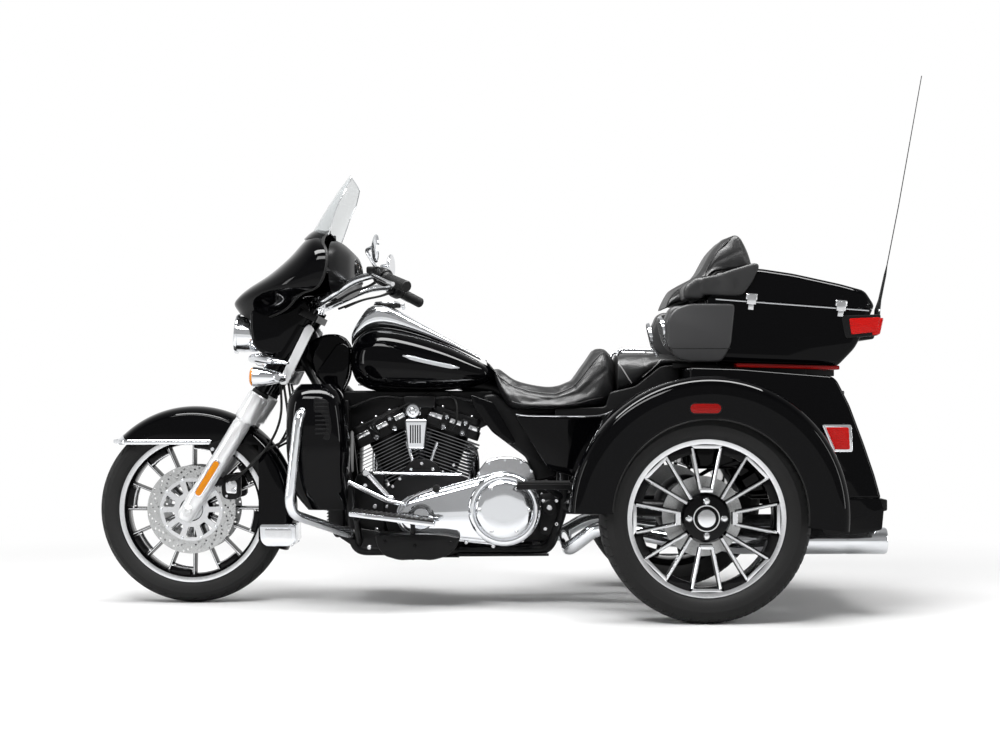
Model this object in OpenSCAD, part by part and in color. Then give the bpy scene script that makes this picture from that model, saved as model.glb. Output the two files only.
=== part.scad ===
/* [Chassis] */
// Distance between the front and rear axles
wheelbase = 1680; // [1676:1:1684]
// Distance between the middles of the two rear tyres
track = 1112; // [1108:1:1116]
// Front axle ahead of the origin
front_axle_x = 1058; // [1054:1:1062]
// Centre of the crankshaft above the ground
crank_z = 309; // [307:1:311]
// Radius of the main frame tubes
frame_tube_r = 17; // [15:1:18]

/* [Front wheel] */
// Outer radius of the front tyre
front_tyre_r = 319.5; // [317:0.5:322]
// Width of the front tyre
front_tyre_w = 130; // [124:1:134]
// Height of the front tyre's sidewall over the rim's lip
front_sidewall = 69.5; // [66:0.5:73]
// Radius of the front brake discs
front_disc_r = 150; // [140:1:154]
// Distance of each front brake disc from the middle of the wheel
front_disc_y = 78; // [76:1:82]

/* [Rear wheels] */
// Outer radius of the rear tyres
rear_tyre_r = 325.3; // [323:0.5:328]
// Width of the rear tyres
rear_tyre_w = 215; // [207:1:219]
// Height of the rear tyres' sidewall over the rim's lip
rear_sidewall = 77.3; // [74:0.1:80]
// Radius of the rear brake discs
rear_disc_r = 146; // [138:1:152]

/* [Steering] */
// Lean of the steering axis from upright, in degrees
rake = 26; // [25.5:0.1:26.5]
// Ground distance from the steering axis to the front contact point
trail = 99; // [96:1:102]
// Lean of the fork legs from upright, in degrees
fork_angle = 31.5; // [31:0.1:32]
// Distance of each fork leg from the middle
fork_y = 128; // [126:1:130]
// Radius of the fork sliders
slider_r = 30; // [28:1:31]
// Radius of the handlebar tube
bar_r = 12.7; // [11:0.1:14]

/* [Body] */
// Room between the rear tyre and the outside of its fender
fender_side_gap = 31.5; // [29:0.5:34]
// Room between the rear tyre and the trunk's side
trunk_side_gap = 20.5; // [18:0.5:23]
// Thickness of the fender and trunk shells
shell_t = 4; // [3:0.5:5]
// Height of the rear fenders' outside over the tyre
fender_rise = 107.7; // [104:0.1:111]
// Depth that the rear fenders reach down over the tyre's sidewall
opening_drop = 27.3; // [24:0.1:31]
// Height of the front fender's outside over the tyre
front_fender_rise = 30.5; // [29:0.5:34]
// Half width of the front fender
front_fender_hw = 86; // [84:1:88]
// Half width of the top case
case_half_w = 300; // [296:1:304]
// Thickness of the top case walls
case_t = 4; // [3:0.5:5]
// Height of the tip of the antenna
antenna_z = 1761; // [1700:5:1800]
// Thickness of the windshield
glass_t = 4; // [3:0.5:5]

/* [Clearances] */
// Gap between a moving panel and the panel beside it
panel_gap = 1.5; // [1:0.5:3]
// Radial running clearance of the steering stem and hinge pins
run_gap = 0.3; // [0.2:0.1:0.5]

/* [Hidden] */
$fn = 48;
rear_axle_x = front_axle_x - wheelbase;
rear_y = track / 2;
front_lip_r = front_tyre_r - front_sidewall;
rear_lip_r = rear_tyre_r - rear_sidewall;
overall_w = 2 * rear_y + rear_tyre_w + 2 * fender_side_gap;
trunk_half_w = rear_y - rear_tyre_w / 2 - trunk_side_gap;
fender_r = rear_tyre_r + fender_rise;
opening_r = rear_tyre_r - opening_drop;
front_fender_r = front_tyre_r + front_fender_rise;
crank_x = 276;
steer_ground_x = front_axle_x + trail;
cradle_y = 122;
deck_r = 130;
case_half_y = 94;
muffler_y = 330;
plate_w = 146;
plate_h = 70;

// Point on the steering axis at height z
function steer_at(z) = [steer_ground_x - z * tan(rake), 0, z];
// Point on a fork leg's centre line at height z, on side s
function leg_at(z, s) = [front_axle_x - (z - front_tyre_r) * tan(fork_angle), s * fork_y, z];
// Mean of a list of points
function middle(points) = [for (i = [0:2]) [for (p = points) p[i]] * [for (p = points) 1] / len(points)];
// Smooth curve through vectors, steps pieces between each two
function curve(a, b, c, d, t) =
    0.5 * (2 * b + (c - a) * t + (2 * a - 5 * b + 4 * c - d) * t * t + (3 * b - a - 3 * c + d) * t * t * t);
function smooth(p, steps) = concat(
    [for (i = [0:len(p) - 2]) for (s = [0:steps - 1])
        curve(p[max(i - 1, 0)], p[i], p[i + 1], p[min(i + 2, len(p) - 1)], s / steps)],
    [p[len(p) - 1]]);
// Point of a squared-off ellipse at angle a, n = 2 round and larger squarer
function squarish(a, n) = [sign(cos(a)) * pow(abs(cos(a)), 2 / n), sign(sin(a)) * pow(abs(sin(a)), 2 / n)];
// Ring across the vehicle at [x, half width, z low, z high, squareness]
function cross_ring(s, count) = [for (k = [0:count - 1]) let (q = squarish(360 * k / count, s[4]))
    [s[0], s[1] * q[0], (s[2] + s[3]) / 2 + (s[3] - s[2]) / 2 * q[1]]];
// Ring lying level at [z, x back, x front, y in, y out, squareness]
function level_ring(s, count) = [for (k = [0:count - 1]) let (q = squarish(360 * k / count, s[5]))
    [(s[1] + s[2]) / 2 + (s[2] - s[1]) / 2 * q[0], (s[3] + s[4]) / 2 + (s[4] - s[3]) / 2 * q[1], s[0]]];

// Closed solid through rings of equal count that turn right-handed about their direction
module skin(rings) {
    n = len(rings[0]);
    m = len(rings);
    points = concat([for (r = rings) each r], [middle(rings[0]), middle(rings[m - 1])]);
    walls = [for (i = [0:m - 2]) for (j = [0:n - 1])
        let (k = (j + 1) % n, a = i * n + j, b = i * n + k, c = b + n, d = a + n) each [[a, d, c], [a, c, b]]];
    first = [for (j = [0:n - 1]) [j, (j + 1) % n, m * n]];
    last = [for (j = [0:n - 1]) [(m - 1) * n + (j + 1) % n, (m - 1) * n + j, m * n + 1]];
    polyhedron(points, concat(walls, first, last));
}
// Solid along +X through stations [x, half width, z low, z high, squareness]
module loft_x(stations, steps = 3, count = 20) {
    skin([for (s = smooth(stations, steps)) cross_ring(s, count)]);
}
// Solid along +Z through stations [z, x back, x front, y in, y out, squareness]
module loft_z(stations, steps = 3, count = 20) {
    skin([for (s = smooth(stations, steps)) level_ring(s, count)]);
}
// Unit vector
function unit(v) = v / norm(v);
// Normal of a grid of points at row i, column j
function grid_normal(g, i, j) = let (
    a = g[min(i + 1, len(g) - 1)][j] - g[max(i - 1, 0)][j],
    b = g[i][min(j + 1, len(g[0]) - 1)] - g[i][max(j - 1, 0)]) unit(cross(a, b));
// Thin shell of thickness t behind a grid whose normals, rows cross columns, point out
module sheet(g, t) {
    rows = len(g);
    cols = len(g[0]);
    back = [for (i = [0:rows - 1]) [for (j = [0:cols - 1]) g[i][j] - t * grid_normal(g, i, j)]];
    points = concat([for (r = g) each r], [for (r = back) each r]);
    o = rows * cols;
    outer = [for (i = [0:rows - 2]) for (j = [0:cols - 2])
        let (a = i * cols + j, b = a + 1, c = b + cols, d = a + cols) each [[a, b, c], [a, c, d]]];
    inner = [for (f = outer) [f[2] + o, f[1] + o, f[0] + o]];
    left = [for (i = [0:rows - 2]) let (a = i * cols, d = a + cols) each [[a, d, d + o], [a, d + o, a + o]]];
    right = [for (i = [0:rows - 2]) let (a = i * cols + cols - 1, d = a + cols)
        each [[d, a, a + o], [d, a + o, d + o]]];
    low = [for (j = [0:cols - 2]) let (a = j, b = j + 1) each [[b, a, a + o], [b, a + o, b + o]]];
    high = [for (j = [0:cols - 2]) let (a = (rows - 1) * cols + j, b = a + 1)
        each [[a, b, b + o], [a, b + o, a + o]]];
    polyhedron(points, concat(outer, inner, left, right, low, high));
}
// Round bar from a to b
module rod(a, b, r) {
    d = b - a;
    translate(a)
        rotate([0, acos(d[2] / norm(d)), atan2(d[1], d[0])])
            cylinder(h = norm(d), r = r);
}
// Points along a path whose corners are bent over the length d each side
function bend_points(a, b, c, d) = let (p = b - unit(b - a) * d, q = b + unit(c - b) * d)
    [for (t = [0:1 / 3:1]) (1 - t) * (1 - t) * p + 2 * t * (1 - t) * b + t * t * q];
function bent_path(p, d) = concat(
    [p[0]], [for (i = [1:1:len(p) - 2]) each bend_points(p[i - 1], p[i], p[i + 1], d)], [p[len(p) - 1]]);
// Tube of radius r along a bent path that never runs along ref
module pipe(corners, r, d, ref, sides = 12) {
    p = bent_path(corners, d);
    last = len(p) - 1;
    skin([for (i = [0:last])
        let (t = unit(p[min(i + 1, last)] - p[max(i - 1, 0)]), u = unit(cross(ref, t)), v = cross(t, u))
            [for (k = [0:sides - 1]) p[i] + r * (cos(360 * k / sides) * u + sin(360 * k / sides) * v)]]);
}
// Children and their mirror image across the middle
module both_sides() {
    children();
    mirror([0, 1, 0]) children();
}
// Flat shape drawn in X and Z, given depth from y0 to y1
module side_plate(y0, y1) {
    translate([0, y1, 0])
        rotate([90, 0, 0])
            linear_extrude(y1 - y0)
                children();
}
// Two circles and the straight sides that touch both, drawn flat
module belt_shape(p, pr, q, qr) {
    d = norm(q - p);
    base = atan2(q[1] - p[1], q[0] - p[0]);
    off = acos((pr - qr) / d);
    translate(p) circle(r = pr);
    translate(q) circle(r = qr);
    polygon([for (s = [[p, pr, off], [q, qr, off], [q, qr, -off], [p, pr, -off]])
        s[0] + s[1] * [cos(base + s[2]), sin(base + s[2])]]);
}

// Wheels: everything turns about the Y axis through the wheel's middle
module about_y(x, y, z) {
    translate([x, y, z]) rotate([90, 0, 0]) children();
}
module tyre_shape(r, w, lip_r) {
    bead = lip_r - 8;
    rotate_extrude($fn = 96)
        polygon([
            [bead, -w * 0.36], [lip_r + 6, -w * 0.43], [lip_r + (r - lip_r) * 0.45, -w / 2],
            [r - w * 0.12, -w * 0.45], [r - w * 0.035, -w * 0.31], [r, -w * 0.12], [r, w * 0.12],
            [r - w * 0.035, w * 0.31], [r - w * 0.12, w * 0.45], [lip_r + (r - lip_r) * 0.45, w / 2],
            [lip_r + 6, w * 0.43], [bead, w * 0.36], [bead + 6, 0]
        ]);
}
// Barrel of a rim under its tyre, from the bead seat inward
module rim_barrel(w, lip_r) {
    bead = lip_r - 8;
    rotate_extrude($fn = 96)
        polygon([
            [bead, -w * 0.36], [lip_r, -w * 0.40], [lip_r - 4, -w * 0.415], [lip_r - 24, -w * 0.40],
            [lip_r - 28, -w * 0.34], [lip_r - 30, 0], [lip_r - 28, w * 0.34], [lip_r - 24, w * 0.40],
            [lip_r - 4, w * 0.415], [lip_r, w * 0.40], [bead, w * 0.36], [bead + 6, 0]
        ]);
}
// Eight pairs of spokes between the hub and the barrel, drawn flat
module spoke_pairs(hub_r, rim_r, bar_w) {
    for (k = [0:7]) rotate(45 * k) {
        for (s = [-1, 1]) polygon([
            [hub_r - 12, s * 12], [hub_r - 12, s * (12 + bar_w)],
            [rim_r, s * (44 + bar_w)], [rim_r, s * 44]
        ]);
    }
}
// Dark raised pads at the rim between the pairs, drawn flat
module rim_pads(r0, r1) {
    for (k = [0:7]) rotate(45 * k + 22.5) intersection() {
        difference() {
            circle(r = r1);
            circle(r = r0);
        }
        polygon([[0, 0], [r1 + 20, -(r1 + 20) * tan(11)], [r1 + 20, (r1 + 20) * tan(11)]]);
    }
}
module front_tyre() {
    color([0.09, 0.09, 0.09])
        about_y(front_axle_x, 0, front_tyre_r)
            tyre_shape(front_tyre_r, front_tyre_w, front_lip_r);
}
module front_rim() {
    color([0.35, 0.35, 0.36])
        about_y(front_axle_x, 0, front_tyre_r) rotate(33.5)
            difference() {
                union() {
                    rim_barrel(front_tyre_w, front_lip_r);
                    for (z = [-44, 22]) translate([0, 0, z]) linear_extrude(22) rim_pads(front_lip_r - 42, front_lip_r - 26);
                    translate([0, 0, -16]) linear_extrude(32) spoke_pairs(62, front_lip_r - 26, 9);
                    translate([0, 0, -front_disc_y + 3]) cylinder(h = 2 * front_disc_y - 6, r = 40);
                    translate([0, 0, -20]) cylinder(h = 40, r = 64);
                    for (s = [-1, 1]) translate([0, 0, s * front_disc_y - 2.5]) linear_extrude(5)
                        difference() {
                            circle(r = front_disc_r);
                            for (k = [0:4]) rotate(72 * k) translate([72, 0]) circle(r = 19);
                        }
                }
                translate([0, 0, -150]) cylinder(h = 300, r = 14 + run_gap);
            }
}
module rear_tyre(s) {
    color([0.09, 0.09, 0.09])
        about_y(rear_axle_x, s * rear_y, rear_tyre_r)
            tyre_shape(rear_tyre_r, rear_tyre_w, rear_lip_r);
}
// Rear rim drawn with its outer face toward +Z
module rear_rim_shape() {
    face = rear_tyre_w * 0.40;
    difference() {
        union() {
            rim_barrel(rear_tyre_w, rear_lip_r);
            translate([0, 0, face - 22]) linear_extrude(20) rim_pads(rear_lip_r - 44, rear_lip_r - 22);
            translate([0, 0, face - 34]) linear_extrude(24) spoke_pairs(74, rear_lip_r - 22, 9);
            translate([0, 0, face - 62]) cylinder(h = 42, r = 66);
            translate([0, 0, face - 60]) cylinder(h = 52, r = 29);
            for (k = [0:3]) rotate(90 * k) translate([50, 0, face - 34]) cylinder(h = 22, r = 11);
            translate([0, 0, -40]) linear_extrude(7) difference() {
                circle(r = rear_disc_r);
                circle(r = 50);
            }
            translate([0, 0, -40]) cylinder(h = face - 10, r = 58);
        }
        translate([0, 0, -150]) cylinder(h = 150 + face - 40, r = 20 + run_gap);
    }
}
module rear_rim(s) {
    color([0.35, 0.35, 0.36])
        about_y(rear_axle_x, s * rear_y, rear_tyre_r)
            rotate([s > 0 ? 180 : 0, 0, 0])
                rear_rim_shape();
}

// Steered parts
module fork() {
    color([0.82, 0.82, 0.83]) {
        for (s = [-1, 1]) {
            rod(leg_at(front_tyre_r - 30, s), leg_at(700, s), slider_r);
            rod(leg_at(700, s), leg_at(1000, s), slider_r - 5);
        }
        // Axle through the wheel
        about_y(front_axle_x, -165, front_tyre_r)
            translate([0, 0, -330])
                cylinder(h = 330, r = 14);
        for (s = [-1, 1])
            about_y(front_axle_x, s * 128, front_tyre_r)
                translate([0, 0, -38])
                    cylinder(h = 76, r = 20);
        // Lower and upper yokes and the stem between them
        for (z = [770, 985]) yoke(z);
        rod(steer_at(755), steer_at(1000), 14);
    }
}
// Level plate across both fork legs, square to the steering axis at height z
module yoke(z) {
    leg = leg_at(z, 1);
    base = steer_at(z);
    difference() {
        translate(base) rotate([0, -rake, 0]) translate([0, 0, -12])
            linear_extrude(24) {
                back = leg[0] - base[0];
                translate([0, 0]) circle(r = 34);
                for (s = [-1, 1]) {
                    translate([back, s * fork_y]) circle(r = slider_r + 8);
                    polygon([[34, 0], [-34, 0], [back - 30, s * fork_y], [back + 30, s * fork_y]]);
                }
            }
    }
}
module front_fender() {
    color([0.06, 0.06, 0.07])
        difference() {
            about_y(front_axle_x, 0, front_tyre_r)
                rotate(42)
                    rotate_extrude(angle = 162, $fn = 96)
                        fender_section();
            // Side skirts end on a level line in front and an upright line behind
            translate([front_axle_x - 228, -150, 0]) cube([700, 300, front_tyre_r + 220]);
        }
    // Bosses on the fork sliders
    color([0.06, 0.06, 0.07]) both_sides()
        about_y(leg_at(548, 1)[0], fork_y - slider_r - run_gap, 548)
            cylinder(h = fork_y - slider_r - run_gap - front_fender_hw + 6, r = 11);
}
// Half-round mudguard section from the skirt over the crown, drawn radius and width
module fender_section() {
    r = front_fender_r;
    w = front_fender_hw;
    t = shell_t;
    crown = [for (a = [0:15:180]) [r - 34 + 34 * sin(a), w * cos(a) * (0.82 + 0.18 * abs(cos(a)))]];
    inside = [for (a = [180:-15:0]) [r - 34 - t + 34 * sin(a), (w - t) * cos(a) * (0.82 + 0.18 * abs(cos(a)))]];
    polygon(concat([[r - 150, w]], crown, [[r - 150, -w], [r - 150, -w + t]], inside, [[r - 150, w - t]]));
}
// Half of the fairing's outline rows: [nose x, nose z, edge x, edge y, edge z]
fairing_rows = [
    [903, 985, 838, 112, 953], [921, 1014, 730, 205, 988], [908, 1036, 668, 285, 1036],
    [870, 1067, 604, 348, 1059], [802, 1108, 578, 365, 1112], [733, 1163, 576, 352, 1168],
    [682, 1218, 592, 305, 1202], [648, 1252, 596, 205, 1234], [600, 1268, 590, 95, 1258]
];
function fairing_point(r, t) = [
    r[2] + (r[0] - r[2]) * pow(cos(90 * t), 0.85),
    r[3] * sin(90 * t),
    r[1] + (r[4] - r[1]) * t * t
];
module fairing() {
    shift = front_axle_x - 1058;
    g = [for (r = smooth(fairing_rows, 2)) [for (k = [-8:8]) fairing_point(r, k / 8) + [shift, 0, 0]]];
    color([0.05, 0.05, 0.06]) sheet(g, shell_t);
}
module windshield() {
    shift = front_axle_x - 1058;
    // Rows from the base up: [middle x, middle z, edge x, edge y, edge z]
    rows = [[653.5, 1255.3, 580, 226, 1235.3], [612, 1320, 560, 238, 1295], [580, 1366, 544, 238, 1340],
            [549, 1410, 524, 225, 1382], [520, 1449, 508, 175, 1428]];
    g = [for (r = rows) [for (k = [-6:6]) fairing_point(r, k / 6) + [shift, 0, 0]]];
    color([0.8, 0.82, 0.84, 0.35]) sheet(g, glass_t);
}
module dash() {
    shift = front_axle_x - 1058;
    color([0.08, 0.08, 0.08]) {
        translate([shift, 0, 0]) loft_x([
            [492, 170, 1075, 1170, 4], [510, 235, 1058, 1192, 4],
            [545, 305, 1040, 1222, 3.5], [572, 335, 1035, 1225, 3]
        ], 2, 28);
        // Arms to the fairing
        both_sides() rod([560 + shift, 300, 1112], [588 + shift, 360.2, 1112], 8);
        // Round gauges facing the rider
        for (y = [-52, 52]) translate([494 + shift, y, 1128]) rotate([0, -98, 0]) cylinder(h = 24, r = 42);
        for (y = [-118, 118]) translate([496 + shift, y, 1135]) rotate([0, -98, 0]) cylinder(h = 20, r = 24);
    }
}
module front_lamps() {
    shift = front_axle_x - 1058;
    color([0.85, 0.85, 0.86]) {
        // Headlamp and its bucket
        translate([850 + shift, 0, 910]) rotate([0, 86, 0]) cylinder(h = 62, r = 62);
        translate([910 + shift, 0, 914]) rotate([0, 86, 0]) cylinder(h = 18, r = 68);
        translate([790 + shift, 0, 906]) rotate([0, 86, 0]) cylinder(h = 62, r = 52);
        side_plate(-62, 62) polygon([for (p = [[798, 768], [850, 768], [884, 862], [800, 862]]) p + [shift, 0]]);
        // Bar across the fork with the passing lamps and turn signals
        rod([812 + shift, -215, 790], [812 + shift, 215, 790], 12);
        for (s = [-1, 1]) {
            translate([775 + shift, s * 215, 762]) rotate([0, 84, 0]) cylinder(h = 62, r = 34);
            translate([840 + shift, s * 110, 815]) rotate([0, 84, 0]) cylinder(h = 40, r = 48);
        }
    }
}
module handlebar() {
    shift = [front_axle_x - 1058, 0, 0];
    color([0.25, 0.25, 0.26])
        both_sides() {
            pipe([for (p = [[632, 60, 1022], [632, 130, 1022], [500, 235, 1024], [415, 320, 1100],
                [330, 446, 1059]]) p + shift], bar_r, 45, [0, 0, 1]);
            rod([378, 375, 1082] + shift, [309, 477.5, 1048.8] + shift, 19);
            rod([405, 335, 1095] + shift, [378, 375, 1082] + shift, 30);
            rod([640, 45, 985] + shift, [632, 45, 1042] + shift, 20);
            rod([632, 0, 1022] + shift, [632, 100, 1022] + shift, 15.9);
        }
}
module mirrors() {
    shift = [front_axle_x - 1058, 0, 0];
    color([0.8, 0.8, 0.81])
        both_sides() {
            pipe([for (p = [[410, 336, 1110], [448, 350, 1175], [425, 392, 1180]]) p + shift], 6, 15, [1, 0, 0], 8);
            translate([416, 400, 1176] + shift) rotate([0, 90, 12]) translate([0, 0, -9]) cylinder(h = 18, r = 46);
        }
}
module front_brakes() {
    z = front_tyre_r;
    color([0.3, 0.3, 0.31]) both_sides() difference() {
        union() {
            about_y(front_axle_x, front_disc_y, z) translate([-165, 40, -17]) cube([62, 78, 34]);
            // Lug that seats on the fork slider
            about_y(front_axle_x, front_disc_y + 17, z) translate([-110, 86, 0]) cube([60, 26, 12]);
            about_y(front_axle_x - 72, fork_y - slider_r - run_gap, z + 100) cylinder(h = 16, r = 12);
        }
        about_y(front_axle_x, front_disc_y + 5.5, z) cylinder(h = 11, r = front_disc_r + 3);
    }
}

// Engine
module cylinder_stack(lean) {
    translate([crank_x, 0, crank_z]) intersection() {
        rotate([0, lean, 0]) {
            translate([0, 0, deck_r]) cylinder(h = 210, r = 62);
            for (k = [0:12]) translate([0, 0, deck_r + 12 + 11 * k])
                linear_extrude(4) fin_outline(90, 80);
            translate([0, 0, deck_r + 158]) linear_extrude(62) fin_outline(78, 70);
        }
        // The half of the V on this cylinder's side
        rotate([0, 3.5, 0]) translate([lean > 0 ? 1 : -401, -150, 0]) cube([400, 300, 600]);
    }
}
// Rounded square plate outline
module fin_outline(hx, hy) {
    intersection() {
        square([2 * hx, 2 * hy], center = true);
        circle(r = 100);
    }
}
module cylinders() {
    color([0.2, 0.2, 0.2]) {
        cylinder_stack(26);
        cylinder_stack(-19);
    }
}
// Crankcase with its two decks and the gearbox behind, in one outline
module engine_case() {
    color([0.16, 0.16, 0.17]) side_plate(-case_half_y + run_gap, case_half_y - run_gap) difference() {
        union() {
            translate([crank_x, crank_z]) circle(r = deck_r - 4);
            for (lean = [26, -19]) translate([crank_x, crank_z]) rotate(-lean)
                translate([-76, 0]) square([152, deck_r + 10]);
            polygon([[140, 215], [140, 410], [-150, 410], [-160, 400], [-160, 225], [-150, 215]]);
            polygon([[60, 192], [260, 192], [250, 300], [60, 300]]);
        }
        for (lean = [26, -19]) translate([crank_x, crank_z]) rotate(-lean)
            translate([-150, deck_r]) square([300, 300]);
    }
}
module primary_cover() {
    color([0.85, 0.85, 0.86]) {
        side_plate(case_half_y, 215) belt_shape([0, 327], 125, [290, 304], 72);
        side_plate(215, 238) translate([0, 327]) circle(r = 102);
    }
}
module air_cleaner() {
    color([0.82, 0.82, 0.83]) {
        about_y(250, -80 - run_gap, 520) cylinder(h = 110, r = 40);
        about_y(250, -185, 520) cylinder(h = 60, r = 88);
        // Cam cover low on the right
        side_plate(-135, -case_half_y) translate([crank_x, crank_z]) circle(r = 100);
    }
}
module horn_cover() {
    color([0.85, 0.85, 0.86])
        side_plate(80 + run_gap, 130) polygon([[330, 610], [262, 610], [272, 530], [320, 530]]);
}
module exhaust() {
    color([0.82, 0.82, 0.83]) {
        // Front and rear header on the right, and the crossover to the left
        pipe([[415, -62, 560], [440, -165, 520], [434, -178, 205], [-170, -215, 200], [-310, -262, 275],
            [-560, -muffler_y, 234], [-690, -muffler_y, 234]], 24, 60, [0, 1, 0]);
        pipe([[150, -60, 545], [110, -178, 520], [100, -188, 300], [50, -200, 205]], 22, 50, [1, 0, 0]);
        pipe([[-216, -225, 210], [-216, 190, 195], [-310, 262, 275], [-560, muffler_y, 234],
            [-690, muffler_y, 234]], 24, 45, [0, 0, 1]);
        for (s = [-1, 1]) rod([-680, s * muffler_y, 234], [-1239, s * muffler_y, 234], 44);
    }
}

// Frame and running gear
module frame() {
    r = frame_tube_r;
    y = cradle_y;
    color([0.1, 0.1, 0.1]) {
        difference() {
            union() {
                rod(steer_at(800), steer_at(955), 34);
                // Backbone under the tank
                pipe([[steer_at(880)[0] - 5, 0, 880], [560, 0, 850], [0, 0, 720], [-70, 0, 628]],
                    30, 60, [0, 1, 0], 16);
            }
            rod(steer_at(790), steer_at(965), 14 + run_gap);
        }
        // Cradle loops from the head down, under the engine and up to the seat rails
        for (s = [-1, 1]) {
            pipe([[700, s * 14, 856], [545, s * y, 600], [500, s * y, 185], [-150, s * y, 185],
                [-200, s * y, 330], [-200, s * y, 560], [-80, s * y, 628], [rear_axle_x + 30 + run_gap, s * y, 640]],
                r, 40, [0, 1, 0]);
            // Brackets of the rider's and the passenger's footboards, and the jacking pads
            rod([485, s * (y - 8), 198], [485, s * 266, board_low(485) - 10], 11);
            pipe([[300, s * (y - 4), 170], [300, s * 256, 170], [300, s * 262, board_low(300) - 1.3]],
                8, 18, [1, 0, 0]);
            rod([-198, s * (y - 8), 360], [-133, s * 248.8, 408], 11);
            // Bosses of the side covers
            rod([60, s * 15, 712], [60, s * 148.1, 676], 6);
            rod([-200, s * y, 500], [-200, s * (170 - run_gap), 500], 6);
            translate([150, s * y - 18, 185 - r - 6]) cube([90, 36, 8]);
        }
        for (p = [[-70, 628], [-560, 640], [-199, 370], [430, 185], [-110, 215 - run_gap - r + 4]])
            rod([p[0], -y, p[1]], [p[0], y, p[1]], r - 4);
    }
}
module rear_axle() {
    color([0.12, 0.12, 0.12]) {
        about_y(rear_axle_x, rear_y - 40, rear_tyre_r) cylinder(h = 2 * rear_y - 80, r = 20);
        about_y(rear_axle_x, rear_y - 70, rear_tyre_r) cylinder(h = 2 * rear_y - 140, r = 42);
        about_y(rear_axle_x, 90, rear_tyre_r) cylinder(h = 180, r = 110);
        for (s = [-1, 1]) rod([rear_axle_x, s * 170, rear_tyre_r], [-196, s * 112, 335], 28);
    }
}

// Bodywork
module fuel_tank() {
    color([0.05, 0.05, 0.06]) difference() {
        loft_x([
            [20, 70, 760, 780, 2.6], [80, 108, 740, 820, 2.8], [180, 138, 724, 872, 2.8],
            [300, 150, 719, 915, 2.8], [400, 152, 718, 936, 2.8], [460, 142, 727, 930, 2.6],
            [502, 112, 752, 900, 2.4], [522, 62, 795, 862, 2]
        ], 3, 24);
        rod([600, 0, 830], [-20, 0, 686], 59);
    }
}
module console() {
    color([0.85, 0.85, 0.86])
        loft_x([
            [80, 30, 826, 838, 3], [180, 44, 872.6, 893, 3], [300, 56, 915.6, 960, 3], [400, 60, 936.6, 1016, 3],
            [460, 54, 930.6, 1008, 3], [502, 42, 902, 955, 2.6], [522, 30, 876, 920, 2.2]
        ], 3, 20);
}
module fuel_door() {
    color([0.85, 0.85, 0.86])
        translate([400, 0, 1020]) cylinder(h = 8, r = 44);
}
module rider_seat() {
    color([0.07, 0.07, 0.07]) difference() {
        loft_x([
            [-372, 165, 663, 845, 3], [-331, 180, 652.7, 884, 3], [-272, 188, 647.7, 806, 3.4],
            [-230, 190, 645.7, 754, 3.6], [-157, 190, 645.7, 729, 3.6], [-50, 180, 648, 748, 3.4],
            [0, 150, 672, 780, 3], [40, 105, 770, 815, 2.6], [74, 40, 815, 841, 2]
        ], 3, 24);
        // Back end of the tank
        side_plate(-200, 200) polygon([[18, 600], [18, 783], [80, 823], [200, 878], [200, 600]]);
        // Channel over the backbone
        side_plate(-34, 34) polygon([[20, 600], [20, 768], [-30, 750], [-112, 668], [-112, 600]]);
    }
}
module passenger_seat() {
    color([0.07, 0.07, 0.07])
        loft_x([
            [-585, 150, 800, 842, 3], [-521, 165, 790, 842, 3.2], [-440, 170, 720, 848, 3.4],
            [-372 - run_gap, 170, 700, 850, 3.4]
        ], 3, 24);
}
module side_covers() {
    color([0.06, 0.06, 0.06])
        both_sides() {
            side_plate(170, 182)
                polygon([[-36, 640], [-330, 640], [-330, 430], [-240, 424], [-146, 457]]);
            // Panel behind the rear cylinder
            side_plate(150, 156)
                polygon([[113, 710], [36, 683], [-43, 545], [-13, 540], [57, 600], [107, 673]]);
        }
}
// Side outline of the trunk, grown inward by t
module trunk_outline(t) {
    polygon([
        [rear_axle_x + 30 - t, 795 - t], [rear_axle_x - 130, 790 - t], [rear_axle_x - 425, 766 - t],
        [rear_axle_x - 442 + t, 752 - t], [rear_axle_x - 482 + t, 673], [rear_axle_x - 529 + t, 547],
        [rear_axle_x - 562 + t, 450], [rear_axle_x - 583 + t, 374 + t], [rear_axle_x - 160, 374 + t],
        [rear_axle_x - 110, 470 + t], [rear_axle_x + 30 - t, 470 + t]
    ]);
}
module trunk() {
    w = trunk_half_w;
    x = rear_axle_x;
    color([0.05, 0.05, 0.06]) difference() {
        union() {
            side_plate(-w, w) trunk_outline(0);
            // Bumper ledge, the plate panel below it and the side skirts
            side_plate(-w, w) polygon([[x - 583, 374], [x - 602, 372], [x - 602, 336], [x - 570, 330], [x - 560, 374]]);
            side_plate(-110, 110) polygon([[x - 602, 350], [x - 602, 262], [x - 596, 262], [x - 596, 350]]);
            for (s = [-1, 1]) side_plate(s * (w - shell_t / 2) - shell_t / 2, s * (w - shell_t / 2) + shell_t / 2)
                polygon([[x - 590, 340], [x - 584, 276], [x - 510, 262], [x - 400, 262], [x - 340, 374.5],
                    [x - 580, 374.5]]);
        }
        side_plate(-w + shell_t, w - shell_t) trunk_outline(shell_t);
        // Doorway in the sloping rear wall
        translate([x - 700, -330, 392]) cube([300, 660, 330]);
        // Screw holes of the plate
        for (y = [-plate_w / 2, plate_w / 2]) for (z = [-plate_h / 2, plate_h / 2])
            translate([x - 610, y, 306 + z]) rotate([0, 90, 0]) cylinder(h = 30, r = 3.2);
    }
    // Hinge pin of the door
    color([0.05, 0.05, 0.06])
        rod([x - 580, -300, 388], [x - 580, 300, 388], 4 + panel_gap - run_gap);
}
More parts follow.
